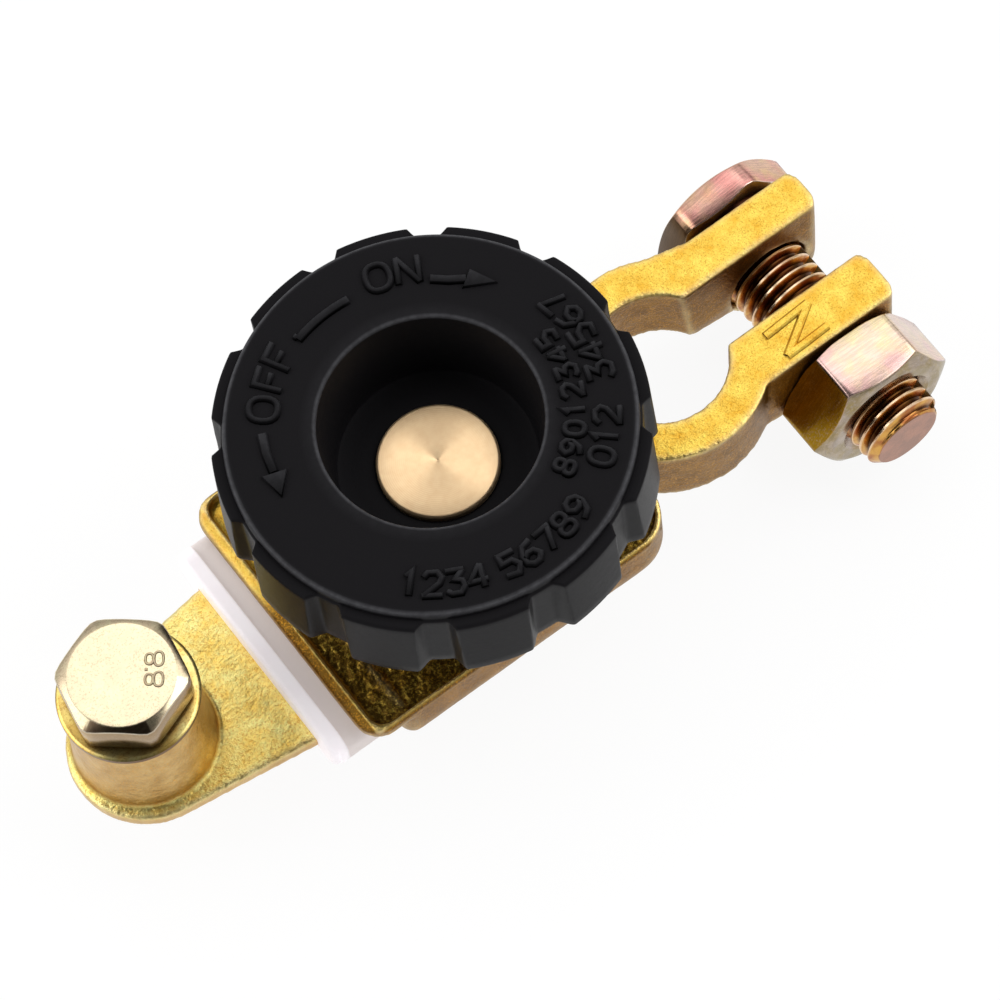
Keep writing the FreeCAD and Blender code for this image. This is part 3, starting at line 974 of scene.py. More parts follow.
@dataclass(frozen=True)
class TurnedBrass:
    """A brass face turned on a lathe, with fine rings."""

    name: str = "turned_brass"
    pale: Colour = (0.88, 0.65, 0.39)
    deep: Colour = (0.80, 0.55, 0.31)
    roughness: float = 0.34
    drawn: float = 0.9
    drawn_turn: float = 0.25
    rings_for_each_mm: float = 9.0
    ring_depth: float = 0.004

    def material(self) -> bpy.types.Material:
        """Builds the material, with its rings about the Z axis.

        Returns:
            The new material.
        """
        made, n, shader = blank_material(self.name, 1.0)
        shader.inputs["Anisotropic"].default_value = self.drawn
        shader.inputs["Anisotropic Rotation"].default_value = self.drawn_turn
        shader.inputs["Roughness"].default_value = self.roughness
        tangent = n.add("ShaderNodeTangent", direction_type="RADIAL", axis="Z")
        n.link(tangent.outputs[0], shader.inputs["Tangent"])
        mottle = EFFECTS.place(n, Effect.MOTTLE, scale=1.2, contrast=1.6)["Mask"]
        n.link(n.blend(mottle, self.deep, self.pale), shader.inputs["Base Color"])
        lines = n.add("ShaderNodeTexWave", wave_type="RINGS", rings_direction="Z")
        lines.inputs["Scale"].default_value = self.rings_for_each_mm / MM / 6.3
        n.link(n.add("ShaderNodeTexCoord").outputs["Object"], lines.inputs["Vector"])
        add_bump(n, shader, lines.outputs["Fac"], self.ring_depth)
        return made


@dataclass(frozen=True)
class ZincPlate:
    """Yellow zinc plating, with painted light and shade that change its colour from face to face."""

    name: str
    pale: Colour
    tint: Colour
    second_tint: Colour
    # side, left and end are painted shade and painted reflection on faces that look sideways or down, to the
    # left and to the near side
    side: Colour
    left: Colour
    end: Colour
    thread: Colour = (0.66, 0.36, 0.09)
    thread_deep: Colour = (0.40, 0.15, 0.05)
    # root is painted shade in thread roots and gaps; crest and edge are painted highlights
    root: Colour = (0.045, 0.014, 0.004)
    crest: Colour = (0.95, 0.74, 0.52)
    edge: Colour = (1.0, 0.95, 0.82)
    roughness: float = 0.22
    scale: float = 0.22
    drawn: float = 1.0
    specks: float = 0.15

    def towards(self, n: Nodes, along: bpy.types.NodeSocket, sign: float) -> bpy.types.NodeSocket:
        """A mask of the faces that look one way along an axis."""
        return n.fade(n.math("MULTIPLY", along, sign), 0.45, 0.8)

    def faces(self, n: Nodes) -> bpy.types.NodeSocket:
        """Gives the plating its tones by the way that a face looks; these are painted light and shade.

        Args:
            n: The material's nodes.

        Returns:
            The colour of the plain faces.
        """
        broad = EFFECTS.place(n, Effect.MOTTLE, scale=self.scale, contrast=5.0)["Mask"]
        other = EFFECTS.place(n, Effect.MOTTLE, scale=self.scale * 2.2, contrast=5.0)["Mask"]
        up = EFFECTS.place(n, Effect.FACING, low=0.15, high=0.5)["Mask"]
        axes = n.axes("Normal")
        body = n.cover(n.blend(broad, self.pale, self.tint), self.second_tint, other, 0.6)
        # Painted light and shade by the way a face looks: darker walls, left and near faces, paler far faces
        body = n.blend(up, self.side, body)
        body = n.blend(self.towards(n, axes["X"], -1.0), body, self.left)
        body = n.blend(self.towards(n, axes["Y"], -1.0), body, n.cover(self.end, self.side, other, 0.25))
        away = n.cover(self.pale, self.second_tint, other, 0.4)
        body = n.blend(self.towards(n, axes["Y"], 1.0), body, away)
        spots = EFFECTS.place(n, Effect.SPECKLE, scale=4.0, level=0.55)["Mask"]
        return n.cover(body, self.side, spots, self.specks)

    def material(self) -> bpy.types.Material:
        """Builds the material.

        Returns:
            The new material.
        """
        made, n, shader = blank_material(self.name, 1.0)
        other = EFFECTS.place(n, Effect.MOTTLE, scale=self.scale * 2.2, contrast=5.0)["Mask"]
        lines = EFFECTS.place(n, Effect.BRUSHED, scale=5.0, stretch=0.1)["Height"]
        wear_and_painted_light = EFFECTS.place(n, Effect.WEAR_AND_PAINTED_LIGHT, patchy=0.3)
        streaked = n.add("ShaderNodeVectorMath", operation="SCALE")
        n.link(self.faces(n), streaked.inputs[0])
        streaks = n.fade(lines, 0.42, 0.62, 1 - 0.14 * self.drawn, 1 + 0.06 * self.drawn)
        n.link(streaks, streaked.inputs["Scale"])
        threaded = n.mask("thread")
        body = n.blend(threaded, streaked.outputs[0], n.blend(other, self.thread, self.thread_deep))
        # Painted shade in hollows and painted highlights on crests and edges
        body = n.cover(body, self.root, wear_and_painted_light["Hollow"], 0.95)
        body = n.cover(body, n.blend(threaded, self.edge, self.crest), wear_and_painted_light["Edge"], 0.8)
        n.link(body, shader.inputs["Base Color"])
        rough = n.math("ADD", self.roughness - 0.08, n.math("MULTIPLY", lines, 0.18))
        n.link(rough, shader.inputs["Roughness"])
        add_bump(n, shader, lines, 0.02 * self.drawn, 0.5)
        return made


@dataclass(frozen=True)
class Nylon:
    """Natural nylon: milky, with a painted glow that lights it a little from within."""

    name: str = "milky_nylon"
    body: Colour = (0.97, 0.93, 0.96)
    shade: Colour = (0.92, 0.86, 0.90)
    # slope: painted shade behind the collar, under the casting's rim
    slope: Colour = (0.60, 0.53, 0.50)
    collar: float = -24.85
    roughness: float = 0.42
    milk: float = 0.12
    milk_depth: float = 1.2
    # glow: strength of the painted glow
    glow: float = 0.36

    def material(self) -> bpy.types.Material:
        """Builds the material, with painted shade on the slope behind the collar and a painted glow.

        Returns:
            The new material.
        """
        made, n, shader = blank_material(self.name)
        mottle = EFFECTS.place(n, Effect.MOTTLE, scale=0.3, contrast=2.0)["Mask"]
        lines = EFFECTS.place(n, Effect.BRUSHED, scale=3.0, stretch=0.05)["Height"]
        # Painted shade on the slope behind the collar, under the casting's rim
        behind = n.fade(n.axes("Object")["X"], self.collar * MM, (self.collar + 0.4) * MM)
        pale = n.cover(n.blend(mottle, self.shade, self.body), self.slope, behind, 0.85)
        n.link(pale, shader.inputs["Base Color"])
        # Painted glow
        n.link(pale, shader.inputs["Emission Color"])
        shader.inputs["Emission Strength"].default_value = self.glow
        shader.inputs["Roughness"].default_value = self.roughness
        shader.inputs["Subsurface Weight"].default_value = self.milk
        shader.inputs["Subsurface Radius"].default_value = (1.0, 0.9, 0.95)
        shader.inputs["Subsurface Scale"].default_value = self.milk_depth * MM
        add_bump(n, shader, lines, 0.03, 0.5)
        return made


@dataclass(frozen=True)
class BlackMoulding:
    """Black plastic with the fine texture of its mould, a painted highlight on its edges and painted shadow
    in its hollows.
    """

    name: str = "black_moulding"
    body: Colour = (0.0100, 0.0094, 0.0106)
    painted_edge_highlight: Colour = (0.13, 0.13, 0.14)
    shadow: Colour = (0.0, 0.0, 0.0)
    top_roughness: float = 0.56
    wall_roughness: float = 0.36
    specular: float = 0.04
    grain_depth: float = 0.03

    def material(self) -> bpy.types.Material:
        """Builds the material.

        Returns:
            The new material.
        """
        made, n, shader = blank_material(self.name)
        up = EFFECTS.place(n, Effect.FACING, low=0.3, high=0.9)["Mask"]
        grain = EFFECTS.place(n, Effect.GRAIN, scale=5.5, coarse=0.35)["Height"]
        wear_and_painted_light = EFFECTS.place(n, Effect.WEAR_AND_PAINTED_LIGHT, patchy=0.3)
        # Painted highlight on edges and painted shadow in hollows
        body = n.cover(self.body, self.painted_edge_highlight, wear_and_painted_light["Edge"], 0.75)
        n.link(n.blend(wear_and_painted_light["Hollow"], body, self.shadow), shader.inputs["Base Color"])
        matt = n.math("MULTIPLY", up, self.top_roughness - self.wall_roughness)
        uneven = n.math("MULTIPLY", n.math("SUBTRACT", grain, 0.5), 0.2)
        rough = n.math("ADD", n.math("ADD", self.wall_roughness, matt), uneven)
        n.link(rough, shader.inputs["Roughness"])
        shader.inputs["Specular IOR Level"].default_value = self.specular
        add_bump(n, shader, grain, self.grain_depth, 0.7)
        return made


class Finishes:
    """The materials that the pieces wear, each built once."""

    def __init__(self) -> None:
        """Builds every finish."""
        self.brass = CastBrass().material()
        self.satin = CastBrass(
            "cast_brass_satin", top=(1.0, 0.93, 0.36), top_deep=(1.0, 0.66, 0.13), wall=(0.70, 0.48, 0.19),
            wall_deep=(0.45, 0.26, 0.075), pit=(0.66, 0.33, 0.05), hollow=(0.13, 0.06, 0.012),
            speckle_level=0.54, roughness=0.32).material()
        self.turned = TurnedBrass().material()
        self.cream_zinc = ZincPlate(
            "cream_zinc", pale=(0.84, 0.71, 0.48), tint=(0.86, 0.77, 0.50), second_tint=(0.80, 0.62, 0.43),
            side=(0.44, 0.32, 0.19), left=(0.50, 0.36, 0.19), end=(0.34, 0.24, 0.14), scale=0.5,
            drawn=0.3, specks=0.4).material()
        self.gold_zinc = ZincPlate(
            "gold_zinc", pale=(1.0, 0.78, 0.24), tint=(1.0, 0.86, 0.36), second_tint=(0.82, 0.48, 0.10),
            side=(0.42, 0.23, 0.05), left=(0.42, 0.23, 0.05), end=(0.26, 0.13, 0.03), roughness=0.3,
            drawn=0.4, specks=0.5).material()
        self.nut_zinc = ZincPlate(
            "nut_zinc", pale=(0.82, 0.67, 0.38), tint=(0.80, 0.50, 0.46), second_tint=(0.76, 0.58, 0.50),
            side=(0.62, 0.56, 0.66), left=(0.32, 0.18, 0.010), end=(0.33, 0.25, 0.12),
            scale=0.16).material()
        self.bolt_zinc = ZincPlate(
            "bolt_zinc", pale=(0.72, 0.47, 0.26), tint=(0.74, 0.33, 0.29), second_tint=(0.68, 0.42, 0.34),
            side=(0.18, 0.10, 0.07), left=(0.10, 0.06, 0.03), end=(0.40, 0.18, 0.11)).material()
        self.nylon = Nylon().material()
        self.plastic = BlackMoulding().material()


# Mesh masks and cast skins

def shape_masks(piece: bpy.types.Object, reach: float) -> None:
    """Stores how far each vertex stands on an edge or in a hollow.

    Args:
        piece: The piece, with vertices a regular distance apart.
        reach: The bend, in millimetres, that counts as a full edge.
    """
    points, normals = vertex_array(piece), vertex_array(piece, "normal")
    edges = edge_array(piece)
    bend = np.sum((neighbour_mean(points, edges) - points) * normals, axis=1)
    for _ in range(2):
        bend = 0.5 * bend + 0.5 * neighbour_mean(bend[:, None], edges)[:, 0]
    # The materials paint a highlight, partly wear, on edges and shade, partly dirt, in hollows
    set_mask(piece, "edge", np.clip(-bend / reach, 0, 1))
    set_mask(piece, "hollow", np.clip(bend / reach, 0, 1))


def edge_array(piece: bpy.types.Object) -> np.ndarray:
    """Reads a mesh's edges.

    Args:
        piece: The piece to read.

    Returns:
        The two vertex numbers of each edge.
    """
    out = np.zeros(len(piece.data.edges) * 2, np.int64)
    piece.data.edges.foreach_get("vertices", out)
    return out.reshape(-1, 2)


def neighbour_mean(values: np.ndarray, edges: np.ndarray) -> np.ndarray:
    """The mean of each vertex's neighbours.

    Args:
        values: One row for each vertex.
        edges: Vertex numbers of each edge.

    Returns:
        An array like values.
    """
    both = np.concatenate([edges, edges[:, ::-1]])
    count = np.maximum(np.bincount(both[:, 0], minlength=len(values)), 1)
    sums = [np.bincount(both[:, 0], weights=values[both[:, 1], k], minlength=len(values))
            for k in range(values.shape[1])]
    return np.stack(sums, axis=1) / count[:, None]


@dataclass
class CastSkin:
    """Turns a node's crisp solid into a cast surface with soft, uneven edges."""

    node: str
    voxel: float
    relax_steps: int = 2
    bend_share: float = 0.16
    wave: float = 0.03
    wave_size: float = 3.5
    grain: float = 0.02
    grain_size: float = 0.9

    def build(self, name: str) -> bpy.types.Object:
        """Makes the piece.

        Args:
            name: The piece's name.

        Returns:
            The new object, with its edge and hollow masks.
        """
        piece = new_object(name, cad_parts[self.node].data.copy())
        remesh = piece.modifiers.new("skin", "REMESH")
        remesh.mode = "VOXEL"
        remesh.voxel_size = self.voxel * MM
        graph = bpy.context.evaluated_depsgraph_get()
        skin = bpy.data.meshes.new_from_object(piece.evaluated_get(graph))
        piece.modifiers.clear()
        piece.data = skin
        skin.name = name
        points, edges = vertex_array(piece), edge_array(piece)
        for _ in range(self.relax_steps):
            points = 0.5 * points + 0.5 * neighbour_mean(points, edges)
        move_vertices(piece, points)
        shape_masks(piece, self.bend_share * self.voxel)
        self.roughen(piece)
        skin.shade_smooth()
        return piece

    def lift(self, point: np.ndarray) -> float:
        """How far the surface stands out at a point.

        Args:
            point: The point, in millimetres.

        Returns:
            The distance, in millimetres.
        """
        broad = noise.noise(Vector(point / self.wave_size))
        fine = noise.noise(Vector(point / self.grain_size))
        return self.wave * broad + self.grain * fine

    def roughen(self, piece: bpy.types.Object) -> None:
        """Moves each vertex along its normal.

        Args:
            piece: The piece to roughen.
        """
        points, normals = vertex_array(piece), vertex_array(piece, "normal")
        lifts = np.array([self.lift(p) for p in points])
        move_vertices(piece, points + normals * lifts[:, None])


# Sub-assemblies

@dataclass
class TerminalCasting(CastSkin):
    """The brass casting: tray, sleeve housing and split post clamp."""

    node: str = "terminal_casting"
    voxel: float = 0.33
    floor_rough: float = 0.22
    floor_size: float = 0.5
    ridge_height: float = 0.14
    ridge_left: float = -17.3
    rim_left: float = -21.33
    rim_side: float = 16.95
    tray_top: float = 9.3
    tray_floor: float = 8.6
    tray_left: float = -21.0
    tray_right: float = 17.6
    tray_half: float = 16.1
    letter_width: float = 0.72
    letter_height: float = 0.34
    letter_corners: tuple[Point2, ...] = ((39.7, -5.35), (45.9, -5.0), (40.2, -8.75), (45.9, -8.55))

    def lift(self, point: np.ndarray) -> float:
        """Adds the coarse sand texture of the tray's floor to the usual skin.

        Args:
            point: The point, in millimetres.

        Returns:
            The distance, in millimetres.
        """
        plain = super().lift(point)
        on_floor = (self.rim_left + 0.5 < point[0] < self.tray_right and abs(point[1]) < self.tray_half
                    and self.tray_floor - 0.9 < point[2] < self.tray_floor)
        if not on_floor:
            return plain
        ridge = self.ridge_height * math.exp(-((point[0] - self.ridge_left) / 0.3) ** 2)
        return plain + self.floor_rough * noise.noise(Vector(point / self.floor_size)) + ridge

    def mark_tray(self, piece: bpy.types.Object) -> None:
        """Stores which vertices lie on the tray's floor, on its walls and on its rim, as painted shade on the
        floor and the rim's outer slope and a painted highlight on the rim's crest.

        Args:
            piece: The casting's skin.
        """
        along, across, height = vertex_array(piece).T
        aside = np.abs(across)
        inside = (along > self.tray_left) & (along < self.tray_right) & (aside < self.tray_half + 0.4)
        low = (height < self.tray_floor + 0.25) & (height > self.tray_floor - 0.9)
        # The dark sand-cast floor, with the knob's painted shade growing towards the near side
        near = np.clip((5.0 - across) / 9.0, 0.12, 1)
        set_mask(piece, "deep", np.where(inside & low, near, 0.0))
        # Painted shade on the rim's outer slope and side walls, stronger towards the near side
        on_top = height > self.tray_floor
        beside = (along < self.tray_right) & on_top
        slope = np.clip((self.rim_left - 0.2 - along) / 0.15, 0, 1) * on_top
        slope *= np.clip((9.0 - across) / 8.0, 0.35, 1)
        flank = np.maximum(slope, np.clip((aside - self.rim_side) / 0.15, 0, 1) * beside)
        set_mask(piece, "flank", flank)
        set_mask(piece, "edge", mask_values(piece, "edge") * (1 - 0.95 * flank))
        # Painted highlight along the rim's crest
        crest = np.exp(-((along - self.rim_left) / 0.15) ** 2) * (aside < self.rim_side)
        side_crest = np.exp(-((aside - self.rim_side + 0.2) / 0.15) ** 2) * beside
        add_to_mask(piece, "edge", np.maximum(crest, side_crest) * (height > self.tray_top - 0.25))

    def casting(self, finish: bpy.types.Material) -> bpy.types.Object:
        """Builds the casting's skin.

        Args:
            finish: Its material.

        Returns:
            The new piece.
        """
        piece = dress(self.build("terminal_casting_skin"), finish, "terminal", self.node)
        self.mark_tray(piece)
        return piece

    def letter(self, finish: bpy.types.Material) -> bpy.types.Object:
        """Raises the polarity letter on the near ear, one bar for each stroke.

        Args:
            finish: Its material.

        Returns:
            The new piece.
        """
        stroke = RaisedStroke(self.letter_width, self.letter_height, ease=0.2)
        bars = []
        for start, end in zip(self.letter_corners, self.letter_corners[1:]):
            first, line = np.array(start), np.array(end) - np.array(start)
            bar = stroke.ribbon("bar", [tuple(first + line * share) for share in (0, 0.06, 0.94, 1)])
            # Painted shade along the foot of each bar, a little lighter on its far side
            points, normals = vertex_array(bar), vertex_array(bar, "normal")
            share = (points[:, :2] - first) @ line / (line @ line)
            foot = (points[:, 2] < 0.1) & (share > 0.03) & (share < 0.97)
            set_mask(bar, "hollow", foot * np.where(normals[:, 1] < 0.25, 1.0, 0.8))
            bar.data.transform(shifted(0, 0, -LAYER * len(bars)))
            bars.append(bar)
        letter = joined(bars, "polarity_letter")
        letter.data.transform(shifted(0, 0, self.tray_top))
        return dress(letter, finish, "terminal")

    def assemble(self, finishes: Finishes) -> list:
        """Builds the casting and its polarity letter."""
        return [self.casting(finishes.brass), self.letter(finishes.brass)]


@dataclass
class CableEnd:
    """The cable plate with its boss, washer and bolt."""

    voxel: float = 0.28
    plate_wave: float = 0.05
    plate_grain: float = 0.03
    cable_x: float = -41.15
    cable_y: float = 0.1
    head_across_flats: float = 13.0
    head_face: float = 5.915
    head_reach: float = 7.189
    head_slope: float = 0.5
    head_turn: float = 20.5
    head_height: float = 4.4
    head_round: float = 0.35
    foot_radius: float = 6.0
    foot_height: float = 0.7
    bolt_radius: float = 4.0
    bolt_length: float = 13.2
    pitch: float = 1.25
    washer_radius: float = 7.8
    washer_bore: float = 4.2
    washer_edge: float = 0.22
    numerals_place: Point2 = (-38.0, -1.45)
    numerals_turn: float = -36.0

    # How dark each facet of the head's chamfer is painted, as shade and reflection, from 0 to 1
    chamfer_painted_shade: tuple[float, ...] = (0.25, 0.12, 0.22, 0.9, 0.0, 0.45)

    def plate(self, finish: bpy.types.Material) -> bpy.types.Object:
        """Builds the cast plate.

        Args:
            finish: Its material.

        Returns:
            The new piece.
        """
        skin = CastSkin("cable_plate", self.voxel, wave=self.plate_wave, grain=self.plate_grain)
        return dress(skin.build("cable_plate_skin"), finish, "terminal", "cable_plate")

    def washer(self, finish: bpy.types.Material) -> bpy.types.Object:
        """Builds the flat washer.

        Args:
            finish: Its material.

        Returns:
            The new piece.
        """
        low, high = (corner.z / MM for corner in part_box("cable_washer"))
        bore, radius, e = self.washer_bore, self.washer_radius, self.washer_edge
        angles = np.linspace(0, 2 * math.pi, 96, endpoint=False)
        profile = [(bore, low + e), (bore, high - e), (bore + e, high), (6.6, high), (radius - 2 * e, high),
                   (radius - e, high - 0.05), (radius, high - e), (radius, low + e), (radius - e, low),
                   (bore + e, low)]
        piece = turned_piece("cable_washer_turned", np.array([ring(r, z, angles) for r, z in profile]), True)
        points = vertex_array(piece)
        # Painted shade: darker on the washer's side wall and growing towards the near side
        near = np.clip(-(points[:, :2] @ np.array(FAR_WAY)) / radius, 0, 1)
        rim = np.hypot(points[:, 0], points[:, 1]) > radius - 0.3
        rim_shade = np.where(points[:, 2] > high - 0.1, 0.0, 0.6)
        set_mask(piece, "hollow", np.where(rim, rim_shade, 0.75 * near ** 2))
        piece.data.transform(shifted(self.cable_x, self.cable_y, 0))
        return dress(piece, finish, "terminal", "cable_washer")

    def bolt(self, finish: bpy.types.Material) -> bpy.types.Object:
        """Builds the hexagon bolt.

        Args:
            finish: Its material.

        Returns:
            The new piece.
        """
        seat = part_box("cable_washer")[1].z / MM
        head = HexagonHead(self.head_across_flats, self.head_height, self.head_face, self.head_slope,
                           self.head_turn, self.foot_radius, self.foot_height, self.head_reach)
        angles = hexagon_angles(self.head_turn)
        rings = head.rings(seat, angles)
        rings += Thread(self.bolt_radius, self.pitch).rings(seat, seat - self.bolt_length, angles)
        piece = turned_piece("cable_bolt_made", np.array(rings), False)
        self.mark_head(piece, seat)
        piece.data.transform(shifted(self.cable_x, self.cable_y, 0))
        return dress(piece, finish, "terminal", "cable_bolt")

    def mark_head(self, piece: bpy.types.Object, seat: float) -> None:
        """Stores a painted highlight on the brim of the bolt's chamfer, the painted shade of each of its
        facets and painted shade low on the head's sides.

        Args:
            piece: The bolt, still about the Z axis.
            seat: Height of the washer's top.
        """
        points = vertex_array(piece)
        way, out = np.arctan2(points[:, 1], points[:, 0]), np.hypot(points[:, 0], points[:, 1])
        hexagon = rounded_hexagon(way, self.head_across_flats, self.head_round, self.head_turn)
        side = np.minimum(hexagon, self.head_reach)
        turned = seat + self.head_height + self.foot_height - (side - self.head_face) * self.head_slope
        brim = (np.abs(points[:, 2] - turned) < 0.05) & (side - out < 0.06)
        set_mask(piece, "edge", np.where(brim, 0.8, 0.0))
        facet = np.floor((np.degrees(way) - self.head_turn) / 60).astype(int) % 6
        on_chamfer = (out > self.head_face + 0.02) & (side - out > 0.08) & (points[:, 2] > turned)
        tones = np.array(self.chamfer_painted_shade)[facet] * on_chamfer
        low_side = (points[:, 2] > seat + 0.5) & (points[:, 2] < seat + 1.1) & (out > 5.5)
        set_mask(piece, "hollow", np.maximum(tones, 0.45 * low_side))

    def numerals(self, finish: bpy.types.Material) -> bpy.types.Object:
        """Stamps plain numbers on the bolt's head.

        Args:
            finish: Their material.

        Returns:
            The new piece.
        """
        stroke = RaisedStroke(width=0.2, height=0.12, ease=0.06)
        parts = []
        for at in (-1.2, 1.1):
            for aside, wide, tall in ((-0.5, 0.85, 1.2), (0.5, 1.0, 1.6)):
                loop = [(x + aside, y + at) for x, y in oval(wide, tall, 16)]
                part = stroke.ribbon("digit", loop, closed=True)
                part.data.transform(shifted(0, 0, -LAYER * (aside > 0)))
                parts.append(part)
        parts.append(stroke.plate("point", [(-0.95, -0.2), (-0.7, -0.2), (-0.7, 0.05), (-0.95, 0.05)]))
        marks = joined(parts, "bolt_numerals")
        # Painted shade: the numerals darkened, most at their foot
        set_mask(marks, "hollow", np.where(vertex_array(marks)[:, 2] < 0.06, 1.0, 0.5))
        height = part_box("cable_washer")[1].z / MM + self.head_height + self.foot_height
        turn = Matrix.Rotation(math.radians(self.numerals_turn), 4, "Z")
        marks.data.transform(shifted(*self.numerals_place, height) @ turn)
        return dress(marks, finish, "terminal")

    def assemble(self, finishes: Finishes) -> list:
        """Builds the plate, washer and bolt with its numerals."""
        return [self.plate(finishes.satin), self.washer(finishes.gold_zinc),
                self.bolt(finishes.cream_zinc), self.numerals(finishes.cream_zinc)]


@dataclass
class ClampFastening:
    """The clamp's bolt and nut, which lie along Y."""

    axis_x: float = 46.9
    axis_z: float = 0.7
    far_seat: float = 9.8
    near_seat: float = -10.5
    bolt_radius: float = 5.0
    bolt_end: float = 11.15
    pitch: float = 1.5
    head_across_flats: float = 15.8
    head_height: float = 4.3
    head_face_share: float = 0.45
    head_reach_share: float = 0.553
    head_slope: float = 0.5
    head_turn: float = -12.0
    head_foot: float = 0.6
    head_shift: Point3 = (0.4, 0.0, 0.15)
    washer_radius: float = 6.8
    washer_height: float = 0.4
    nut_turn: float = -2.5
    nut_across_flats: float = 16.3
    nut_face_share: float = 0.46
    nut_reach_share: float = 0.57
    nut_slope: float = 0.6
    nut_round: float = 0.35
    nut_edge: float = 0.12
    nut_foot: float = 0.45
    nut_height: float = 7.3

    def bolt(self, finish: bpy.types.Material) -> bpy.types.Object:
        """Builds the clamp bolt with its rolled thread.

        Args:
            finish: Its material.

        Returns:
            The new piece.
        """
        flats = self.head_across_flats
        head = HexagonHead(flats, self.head_height, self.head_face_share * flats, self.head_slope,
                           self.head_turn, self.washer_radius, self.washer_height,
                           self.head_reach_share * flats, self.head_foot)
        angles = hexagon_angles(self.head_turn, 9, 5)
        length = self.far_seat - self.near_seat + self.bolt_end
        thread = Thread(self.bolt_radius, self.pitch)
        rings = head.rings(0.0, angles) + thread.rings(0.0, -length, angles)
        piece = turned_piece("clamp_bolt_made", np.array(rings), False)
        on_head = vertex_array(piece)[:, 2] > -0.01
        self.mark_bolt(piece, thread, length)
        laid_along_y(piece, (self.axis_x, self.far_seat, self.axis_z), False)
        move_vertices(piece, vertex_array(piece) + on_head[:, None] * np.array(self.head_shift))
        return dress(piece, finish, "terminal", "clamp_bolt")

    def mark_bolt(self, piece: bpy.types.Object, thread: Thread, length: float) -> None:
        """Stores the thread, the painted shade in its roots, the painted highlights on its crests and on the
        head's edges, and painted shade under the head.

        Args:
            piece: The bolt, still about the Z axis with its seat at 0.
            thread: Its thread.
            length: Length of its shank.
        """
        points = vertex_array(piece)
        height, out = points[:, 2], np.hypot(points[:, 0], points[:, 1])
        shank = height < -0.01
        inner = (self.bolt_radius - out) / thread.depth
        above_end = height > -length + 0.6
        set_mask(piece, "thread", np.where(shank & (out > 0.5), 1.0, 0.0) * (height > -length + 0.05))
        # Painted shade in the thread's roots, painted highlight on its crests and head edges, painted shade
        # under the head
        set_mask(piece, "hollow", np.where(shank & above_end, np.clip((inner - 0.45) / 0.5, 0, 1), 0))
        crest = np.clip(1 - inner / thread.crest_share, 0, 1)
        set_mask(piece, "edge", np.where(shank & above_end, crest, 0))
        above = height > self.washer_height - 0.02
        add_to_mask(piece, "edge", 0.9 * (above & (height < self.washer_height + 0.02) & (out > 7.0)))
        reach = self.head_reach_share * self.head_across_flats
        under = self.washer_height + np.maximum(self.head_foot - (reach - out) / 2, 0)
        add_to_mask(piece, "edge", 0.9 * (above & (np.abs(height - under) < 0.07) & (out > 7.3)))
        add_to_mask(piece, "hollow", (height > -0.01) & (height < self.washer_height + 0.02) & (out < 7.0))

    def nut(self, finish: bpy.types.Material) -> bpy.types.Object:
        """Builds the hexagon nut, chamfered at its outer face.

        Args:
            finish: Its material.

        Returns:
            The new piece.
        """
        angles = hexagon_angles(self.nut_turn, 9, 5)
        corner = self.nut_reach_share * self.nut_across_flats
        hexagon = rounded_hexagon(angles, self.nut_across_flats, self.nut_round, self.nut_turn)
        side = np.minimum(hexagon, corner)
        foot = np.maximum(self.nut_foot - (corner - side) / 2, 0)
        face, slope, high = self.nut_face_share * self.nut_across_flats, self.nut_slope, self.nut_height
        turned = high - (side - face) * slope
        e = self.nut_edge
        bore = self.bolt_radius + 0.02
        rings = [
            ring(bore, 0.0, angles), ring(bore, high - 0.9, angles), ring(bore + 0.9, high, angles),
            ring(face - 0.5, high, angles), ring(face - 0.3 * e, high - 0.1 * e, angles),
            ring(face + 0.5 * e, high - 0.5 * e * slope - 0.15 * e, angles),
            ring(side - 1.2 * e, turned + 1.2 * e * slope, angles),
            ring(side - 0.35 * e, turned - 0.1 * e, angles), ring(side, turned - 0.9 * e, angles),
            ring(side, turned / 2, angles), ring(side, foot + e, angles), ring(side - 0.4 * e, foot, angles),
            ring(np.minimum(side - e, corner - 2 * self.nut_foot), 0.0, angles),
        ]
        piece = turned_piece("clamp_nut_made", np.array(rings), True)
        laid_along_y(piece, (self.axis_x, self.near_seat, self.axis_z), True)
        return dress(piece, finish, "terminal", "clamp_nut")

    def assemble(self, finishes: Finishes) -> list:
        """Builds the bolt and its nut."""
        return [self.bolt(finishes.bolt_zinc), self.nut(finishes.nut_zinc)]


@dataclass
class SleevePiece:
    """The nylon sleeve, with its moulded edges eased, and the pad that lies hidden."""

    edge: float = 0.25
    edge_steps: int = 3
    edge_angle: float = 40.0

    def assemble(self, finishes: Finishes) -> list:
        """Eases the sleeve's own solid and dresses it and the contact pad.

        Args:
            finishes: The materials.

        Returns:
            Both solids.
        """
        sleeve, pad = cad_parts["insulator_sleeve"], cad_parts["contact_pad"]
        for piece, finish in ((sleeve, finishes.nylon), (pad, finishes.turned)):
            piece.data.materials.clear()
            piece.data.materials.append(finish)
        bevel = sleeve.modifiers.new("eased", "BEVEL")
        bevel.width = self.edge * MM
        bevel.segments = self.edge_steps
        bevel.limit_method = "ANGLE"
        bevel.angle_limit = math.radians(self.edge_angle)
        return [sleeve, pad]


class Letter(Enum):
    """The letters of the words on the knob."""

    O = "o"
    N = "n"
    F = "f"


